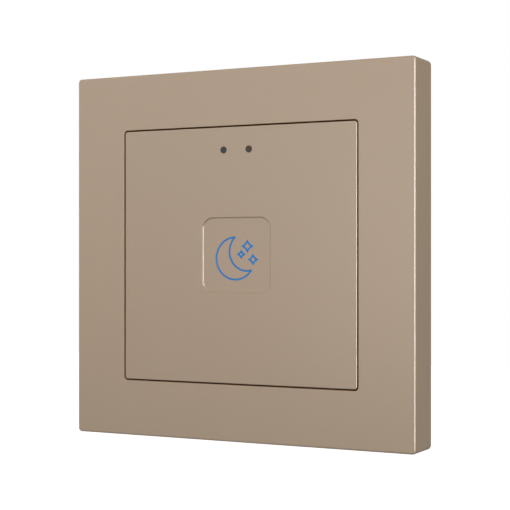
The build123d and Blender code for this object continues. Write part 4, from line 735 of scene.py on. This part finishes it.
def aerial_trace(left, right, low, high, front):
    """A flat copper trace that goes up and down between two limits: its edges lie half a
    width to each side of the line, and at a corner along both sides' normals together."""
    steps = 2 * AERIAL_TURNS
    run = np.repeat(np.linspace(left, right, steps), 2)
    rise = np.tile([low, high, high, low], AERIAL_TURNS)
    line = np.column_stack([run, rise])
    way = np.diff(line, axis=0)
    way = way / np.linalg.norm(way, axis=1)[:, None]
    normal = np.column_stack([-way[:, 1], way[:, 0]])
    before, after = np.vstack([normal[:1], normal]), np.vstack([normal, normal[-1:]])
    corner = np.where(np.abs((before * after).sum(axis=1))[:, None] > 0.5, before, before + after)
    offset = corner * AERIAL_WIDTH / 2
    rims = [(line + offset, front), (line - offset, front),
            (line - offset, front - AERIAL_THICK), (line + offset, front - AERIAL_THICK)]
    points = np.stack([np.column_stack([rim[:, 0], np.full(len(rim), y), rim[:, 1]])
                       for rim, y in rims], axis=1)
    return mesh_object("radio_aerial", points.reshape(-1, 3), tube_faces(len(line), 4))


front_of_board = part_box("front_circuit_board")[0][1]
chip_shape, chip_faces = chip_part_shape()
ceramic = chip_finish()
upright_shape = chip_shape[..., [2, 1, 0]] * (1, 1, -1)
for label, shape, spots in (("lying", chip_shape, LYING), ("standing", upright_shape, STANDING)):
    centres = np.array([(x * MM, front_of_board, z * MM) for x, z in spots])
    chips = mesh_of_copies(f"chip_parts_{label}", centres[:, None] + shape.reshape(1, -1, 3), chip_faces)
    tinned_end = np.tile(np.repeat([1.0, 1, 0, 0, 1, 1], shape.shape[1]), len(spots))
    chips.data.attributes.new("tinned", "FLOAT", "POINT").data.foreach_set("value", tinned_end)
    chips.data.materials.append(ceramic)
    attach(chips, "switch_body")

chip_low, chip_high = node_box("controller_chip")
chip_middle = (chip_low + chip_high) / 2
chip_middle[1] = chip_high[1]
legs = chip_legs(chip_middle, (chip_high[0] - chip_low[0]) / 2)
legs.data.materials.append(tinned)
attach(legs, "switch_body")

radio_low, radio_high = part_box("radio_module")
shield_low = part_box("radio_shield")[0]
aerial = aerial_trace(radio_low[0] + AERIAL_MARGIN, shield_low[0] - AERIAL_MARGIN,
                      radio_low[2] + AERIAL_MARGIN, radio_high[2] - AERIAL_MARGIN, radio_low[1])
aerial.data.materials.append(copper)
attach(aerial, "switch_body")


# Cover frame and key
# Polycarbonate mouldings with a fine satin champagne lacquer. The key turns on two ground
# steel pins; its sunk pad is the place for the finger.
LACQUER, LACQUER_SHADE = (0.390, 0.295, 0.214, 1), (0.382, 0.287, 0.208, 1)
# The key's copy of the same lacquer: a stronger coat, for brighter highlights on its edges and pad walls,
# and a base painted a little darker to offset the coat's extra sheen on its front.
KEY_LACQUER, KEY_SHADE = (0.375, 0.281, 0.201, 1), (0.367, 0.273, 0.195, 1)
FRAME_COAT, KEY_COAT = 0.14, 0.19
LACQUER_RELIEF = 0.003 * MM
# Painted shade in the gap round the key: its walls take a dark brown colour and lose the coat. On the
# frame this reaches further into the rounded edges than on the key.
GAP_SHADE_BROWN = (0.34, 0.21, 0.12, 1)
FRAME_GAP_SHADE_TO, KEY_GAP_SHADE_TO = 0.97, 0.70
GAP_SHADE_FADE = 0.25
GAP_FROM, GAP_TO = 26.5 * MM, 27.95 * MM
PIN_STEEL, PIN_SHADE = (0.58, 0.59, 0.60, 1), (0.50, 0.51, 0.52, 1)


def gap_shade_walls_group():
    """A mask of the walls of the gap round the key, where painted shade goes: faces at its place that
    turn sideways.

    It fades out towards the given forward share of the normal, so it can take in the rounding.
    """
    inputs = [("Place", VECTOR, (0, 0, 0)), ("Normal", VECTOR, (0, 0, 0)), ("Forwards", VALUE, 0.7)]
    group, entry, leave = start_group("gap_shade_walls", inputs, [("Mask", VALUE)])
    turned = add_node(group, "ShaderNodeSeparateXYZ", {"Vector": entry.outputs["Normal"]})
    forwards = calculate(group, "ABSOLUTE", turned.outputs["Y"])
    start = calculate(group, "SUBTRACT", entry.outputs["Forwards"], GAP_SHADE_FADE)
    sideways = add_node(group, "ShaderNodeMapRange", {
        "Value": forwards, "From Min": start, "From Max": entry.outputs["Forwards"],
        "To Min": 1.0, "To Max": 0.0}).outputs["Result"]
    place = add_node(group, "ShaderNodeSeparateXYZ", {"Vector": entry.outputs["Place"]})
    across = calculate(group, "ABSOLUTE", place.outputs["X"])
    off = calculate(group, "MAXIMUM", across, calculate(group, "ABSOLUTE", place.outputs["Z"]))
    inside = calculate(group, "MULTIPLY", calculate(group, "GREATER_THAN", off, GAP_FROM),
                       calculate(group, "LESS_THAN", off, GAP_TO))
    group.links.new(calculate(group, "MULTIPLY", sideways, inside), leave.inputs["Mask"])
    return group


gap_shade_walls = gap_shade_walls_group()


def satin_lacquer(name, colour, shade, coat, gap_shade_to):
    """Metallic-looking satin lacquer: a soft base under a thin clear coat of a given weight.

    The walls of the gap round the key are given painted shade: a dark brown colour and no coat.
    """
    material, tree, shader, place = start_material(name)
    normal = tree.nodes.new("ShaderNodeTexCoord").outputs["Normal"]
    wall_sockets = {"Place": place, "Normal": normal, "Forwards": gap_shade_to}
    gap_shade = add_node(tree, "ShaderNodeGroup", wall_sockets, node_tree=gap_shade_walls).outputs["Mask"]
    sockets = {"Place": place, "Colour": blend_colours(tree, gap_shade, colour, GAP_SHADE_BROWN),
               "Shade": blend_colours(tree, gap_shade, shade, GAP_SHADE_BROWN), "Grain": 5200.0,
               "Smoothest": 0.36, "Roughest": 0.46}
    finish_from_group(tree, shader, moulded_skin, sockets, LACQUER_RELIEF)
    shader.inputs["Specular IOR Level"].default_value = 0.0
    tree.links.new(spread(tree, gap_shade, coat, 0.0), shader.inputs["Coat Weight"])
    shader.inputs["Coat IOR"].default_value = 2.4
    shader.inputs["Coat Roughness"].default_value = 0.30
    return material


frame_lacquer = satin_lacquer("champagne_lacquer", LACQUER, LACQUER_SHADE, FRAME_COAT, FRAME_GAP_SHADE_TO)
key_lacquer = satin_lacquer("champagne_lacquer_key", KEY_LACQUER, KEY_SHADE, KEY_COAT, KEY_GAP_SHADE_TO)
pin_steel = bare_metal("pin_steel", PIN_STEEL, PIN_SHADE, smoothest=0.16, roughest=0.30,
                       stretch=(0.3, 1.0, 1.0))
dress(frame_lacquer, "cover_frame")
dress(key_lacquer, "key_plate")
dress(pin_steel, "hinge_pins")


# Light guide and windows
# Clear acrylic: a block behind the pad that spreads the lamps' light, and two smoked round
# light pipes, over the status lamp and over the light sensor.
ACRYLIC, ACRYLIC_SHADE = (0.86, 0.88, 0.89, 1), (0.80, 0.83, 0.85, 1)
STATUS_SMOKE, STATUS_SHADE = (0.058, 0.059, 0.065, 1), (0.048, 0.049, 0.056, 1)
SENSOR_SMOKE, SENSOR_SMOKE_SHADE = (0.070, 0.059, 0.043, 1), (0.060, 0.050, 0.037, 1)
SMOKED_RESIN = {"smoothest": 0.18, "roughest": 0.28, "clearness": 0.1, "shine": 0.12}
guide_acrylic = clear_resin("clear_acrylic", ACRYLIC, ACRYLIC_SHADE,
                            smoothest=0.14, roughest=0.30, clearness=0.9)
status_smoke = clear_resin("smoked_status_window", STATUS_SMOKE, STATUS_SHADE, **SMOKED_RESIN)
sensor_smoke = clear_resin("smoked_sensor_window", SENSOR_SMOKE, SENSOR_SMOKE_SHADE, **SMOKED_RESIN)
dress(guide_acrylic, "symbol_light_guide")
dress(status_smoke, "status_light_pipe")
dress(sensor_smoke, "light_sensor_window")


# Night symbol
# A crescent and three four-pointed stars, drawn as thin lines in the floor of the pad. They
# are translucent blue and lit from behind by the lamps in the light guide.
LIT_BLUE, LIT_BLUE_BRIGHT = (0.003, 0.122, 0.35, 1), (0.007, 0.165, 0.45, 1)
GLOW = 0.12
GLOW_WAVES_IN_A_METRE = 260.0
PAD_FLOOR = -9.0 * MM
SYMBOL_PROUD = 0.012 * MM
SYMBOL_LINE = 0.40 * MM
MOON_MIDDLE, MOON_R = np.array([-0.355, -0.69]) * MM, 4.53 * MM
BITE_MIDDLE, BITE_R = np.array([2.43, 0.82]) * MM, 4.18 * MM
# Each star: its label, x and z of its middle, and how far its tips would reach if sharp.
STARS = (("upper", 2.50 * MM, 1.92 * MM, 1.77 * MM), ("inner", 1.035 * MM, 0.205 * MM, 1.30 * MM),
         ("lower", 3.84 * MM, -0.915 * MM, 1.56 * MM))
STAR_HOLLOW = 1.18
STAR_REACH = 0.80
TIP_REACH = 0.22 * MM
MOON_STEPS, STAR_STEPS = 72, 20


def circle_meeting(middle, radius, other, other_radius):
    """The two places where circles meet: on the line across their middles' line."""
    across = other - middle
    gap = np.hypot(*across)
    along = (gap ** 2 + radius ** 2 - other_radius ** 2) / (2 * gap)
    off = np.sqrt(radius ** 2 - along ** 2)
    unit = across / gap
    normal = np.array([-unit[1], unit[0]])
    return middle + along * unit + off * normal, middle + along * unit - off * normal


def arc_between(middle, radius, start, end, turn, count):
    """Places on a circle from a start to an end, turning left (1) or right (-1), closer
    together near the two ends."""
    first = np.arctan2(*(start - middle)[::-1])
    last = np.arctan2(*(end - middle)[::-1])
    sweep = (last - first) * turn % (2 * np.pi) * turn
    share = (1 - np.cos(np.linspace(0, np.pi, count, endpoint=False))) / 2
    angle = first + sweep * share
    return middle + radius * np.column_stack([np.cos(angle), np.sin(angle)])


def crescent_rim(inset):
    """Rim of the crescent: the moon's circle drawn in and the bite's circle grown by an inset.

    Past each tip of the line's middle, an outer rim is drawn back to TIP_REACH from that tip,
    so the tips are round.
    """
    corners = circle_meeting(MOON_MIDDLE, MOON_R - inset, BITE_MIDDLE, BITE_R + inset)
    outside = arc_between(MOON_MIDDLE, MOON_R - inset, corners[0], corners[1], 1, MOON_STEPS)
    inside = arc_between(BITE_MIDDLE, BITE_R + inset, corners[1], corners[0], -1, MOON_STEPS)
    rim = np.vstack([outside, inside])
    if inset > 0:
        return rim
    for corner, tip in zip(corners, circle_meeting(MOON_MIDDLE, MOON_R, BITE_MIDDLE, BITE_R)):
        out = rim - tip
        reach = np.linalg.norm(out, axis=1)
        past = (out @ (corner - tip) > 0) & (reach > TIP_REACH) & (reach < 3 * TIP_REACH)
        rim[past] = tip + out[past] * (TIP_REACH / reach[past])[:, None]
    return rim


def star_rim(middle, tip, inset):
    """Rim of a star: four hollow arcs about places outside it, each grown by an inset.

    Its points are cut round where they reach further than STAR_REACH of the way to their tips.
    """
    off = STAR_HOLLOW * tip
    radius = np.hypot(off - tip, off) + inset
    reach = off - np.sqrt(radius ** 2 - off ** 2)
    rims = []
    for quarter in range(4):
        turn = np.pi / 2 * quarter
        turned = np.array([[np.cos(turn), np.sin(turn)], [-np.sin(turn), np.cos(turn)]])
        places = np.array([[reach, 0], [0, reach], [off, off]]) @ turned + middle
        rims.append(arc_between(places[2], radius, places[0], places[1], -1, STAR_STEPS))
    away = np.vstack(rims) - middle
    far = np.linalg.norm(away, axis=1, keepdims=True)
    return middle + away * np.minimum(1, STAR_REACH * tip / far)


def raised_line(name, outer, inner):
    """A flat line between two rims, its top a little proud of the pad and its sides closed."""
    front = PAD_FLOOR - SYMBOL_PROUD
    rims = ((inner, PAD_FLOOR), (inner, front), (outer, front), (outer, PAD_FLOOR))
    points = np.array([np.column_stack([rim[:, 0], np.full(len(rim), depth), rim[:, 1]])
                       for rim, depth in rims])
    faces = ring_faces(len(rims), len(outer), close_rows=True)
    return mesh_object(name, points.reshape(-1, 3), faces)


def lit_blue():
    """Translucent blue, a little unevenly lit."""
    material, tree, shader, place = start_material("symbol_blue")
    glow = noise(tree, place, GLOW_WAVES_IN_A_METRE, detail=1.0)
    colour = blend_colours(tree, glow, LIT_BLUE, LIT_BLUE_BRIGHT)
    tree.links.new(colour, shader.inputs["Base Color"])
    tree.links.new(colour, shader.inputs["Emission Color"])
    shader.inputs["Emission Strength"].default_value = GLOW
    shader.inputs["Specular IOR Level"].default_value = 0.2
    shader.inputs["Roughness"].default_value = 0.5
    return material


symbol_blue = lit_blue()
half_line = SYMBOL_LINE / 2
symbols = [raised_line("night_symbol_moon", crescent_rim(-half_line), crescent_rim(half_line))]
for label, x, z, tip in STARS:
    middle = np.array([x, z])
    symbols.append(raised_line(f"night_symbol_star_{label}", star_rim(middle, tip, 0),
                               star_rim(middle, tip, SYMBOL_LINE)))
for symbol in symbols:
    symbol.data.materials.append(symbol_blue)
    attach(symbol, "key")


# Floor and background
# A plain white sweep well below the switch, and a white world. Both look white to the
# camera and in reflections, and give the switch only a soft even light.
FLOOR_DROP = 0.35
FLOOR_REACH = 4.0
FLOOR_WHITE, FLOOR_SHADE = (0.63, 0.63, 0.63, 1), (0.60, 0.60, 0.60, 1)
FLOOR_WAVES_IN_A_METRE = 3.0
FLOOR_LIFT = 0.8
AMBIENT = 0.46


def seen_straight(tree):
    """1 where the camera sees a surface straight, in a reflection or through glass, or else 0."""
    path = tree.nodes.new("ShaderNodeLightPath")
    seen = calculate(tree, "MAXIMUM", path.outputs["Is Camera Ray"], path.outputs["Is Glossy Ray"])
    return calculate(tree, "MAXIMUM", seen, path.outputs["Is Transmission Ray"])


def floor_finish():
    """White paint that takes the shadow, lifted to white where the camera sees it lit."""
    material, tree, shader, place = start_material("floor_white")
    colour = blend_colours(tree, noise(tree, place, FLOOR_WAVES_IN_A_METRE), FLOOR_SHADE, FLOOR_WHITE)
    tree.links.new(colour, shader.inputs["Base Color"])
    shader.inputs["Roughness"].default_value = 0.9
    shader.inputs["Specular IOR Level"].default_value = 0.1
    lift = calculate(tree, "MULTIPLY", seen_straight(tree), FLOOR_LIFT)
    tree.links.new(lift, shader.inputs["Emission Strength"])
    shader.inputs["Emission Color"].default_value = (1, 1, 1, 1)
    return material


floor_level = cad_box[0][2] - FLOOR_DROP
corner = np.array([[-1, -1], [1, -1], [1, 1], [-1, 1]]) * FLOOR_REACH
floor = mesh_object("floor", np.column_stack([corner, np.full(4, floor_level)]), np.array([[0, 1, 2, 3]]))
floor.data.materials.append(floor_finish())

world = bpy.data.worlds.new("white_studio")
world.use_nodes = True
bpy.context.scene.world = world
sky = world.node_tree
sky_light = spread(sky, seen_straight(sky), AMBIENT, 1.0)
sky.links.new(sky_light, sky.nodes["Background"].inputs["Strength"])
sky.nodes["Background"].inputs["Color"].default_value = (1, 1, 1, 1)


# Lamps
# Plain soft studio light: a wide strip above the front and a small fill at the right, and two
# white cards that only show as reflections, on the right-hand edges and at the right of the front.
def softbox(name, place, aim, width, height, power):
    """An area lamp at a place, turned to face another; gives the lamp's object."""
    lamp = bpy.data.lights.new(name, "AREA")
    lamp.shape = "RECTANGLE"
    lamp.size, lamp.size_y, lamp.energy = width, height, power
    holder = bpy.data.objects.new(name, lamp)
    bpy.context.collection.objects.link(holder)
    back = np.array(place) - np.array(aim)
    back = back / np.linalg.norm(back)
    side = np.cross((0, 0, 1), back)
    side = side / np.linalg.norm(side)
    turned = np.eye(4)
    turned[:3, 0], turned[:3, 1], turned[:3, 2] = side, np.cross(back, side), back
    turned[:3, 3] = place
    holder.matrix_world = Matrix(turned.tolist())
    return holder


front_strip = softbox("front_strip", place=(0.03, -0.16, 0.064), aim=(0.03, 0, 0.036),
                      width=0.50, height=0.10, power=0.362)
front_strip.visible_camera = front_strip.visible_glossy = False
side_card = softbox("side_card", place=(0.42, -0.355, 0.10), aim=(0.04, 0, 0.02),
                    width=0.42, height=0.55, power=21.0)
sheen_card = softbox("sheen_card", place=(-0.045, -0.35, 0), aim=(0.03, 0, 0),
                     width=0.12, height=0.12, power=0.12)
side_card.visible_diffuse = sheen_card.visible_diffuse = False
side_fill = softbox("side_fill", place=(0.28, -0.03, 0.17), aim=(0, 0, 0),
                    width=0.15, height=0.15, power=0.115)
side_fill.data.color = (1.0, 0.93, 0.52)


# Camera
# As the photograph was taken: from the right, level with the switch's middle and 27
# centimetres away from it.
CAMERA_PLACE = (0.115589, -0.245062, -0.00055)
CAMERA_TURN_DEG = 25.218
LENS_LENGTH, SENSOR_WIDTH = 86.69, 36.0
PICTURE_SHIFT = (-0.001, 0.0055)
camera = bpy.data.cameras.new("camera")
camera.lens, camera.sensor_width = LENS_LENGTH, SENSOR_WIDTH
camera.clip_start = 0.01
camera.shift_x, camera.shift_y = PICTURE_SHIFT
viewer = bpy.data.objects.new("camera", camera)
viewer.location = CAMERA_PLACE
viewer.rotation_euler = (np.pi / 2, 0, np.radians(CAMERA_TURN_DEG))
bpy.context.collection.objects.link(viewer)
bpy.context.scene.camera = viewer
bpy.context.scene.view_settings.view_transform = "Standard"
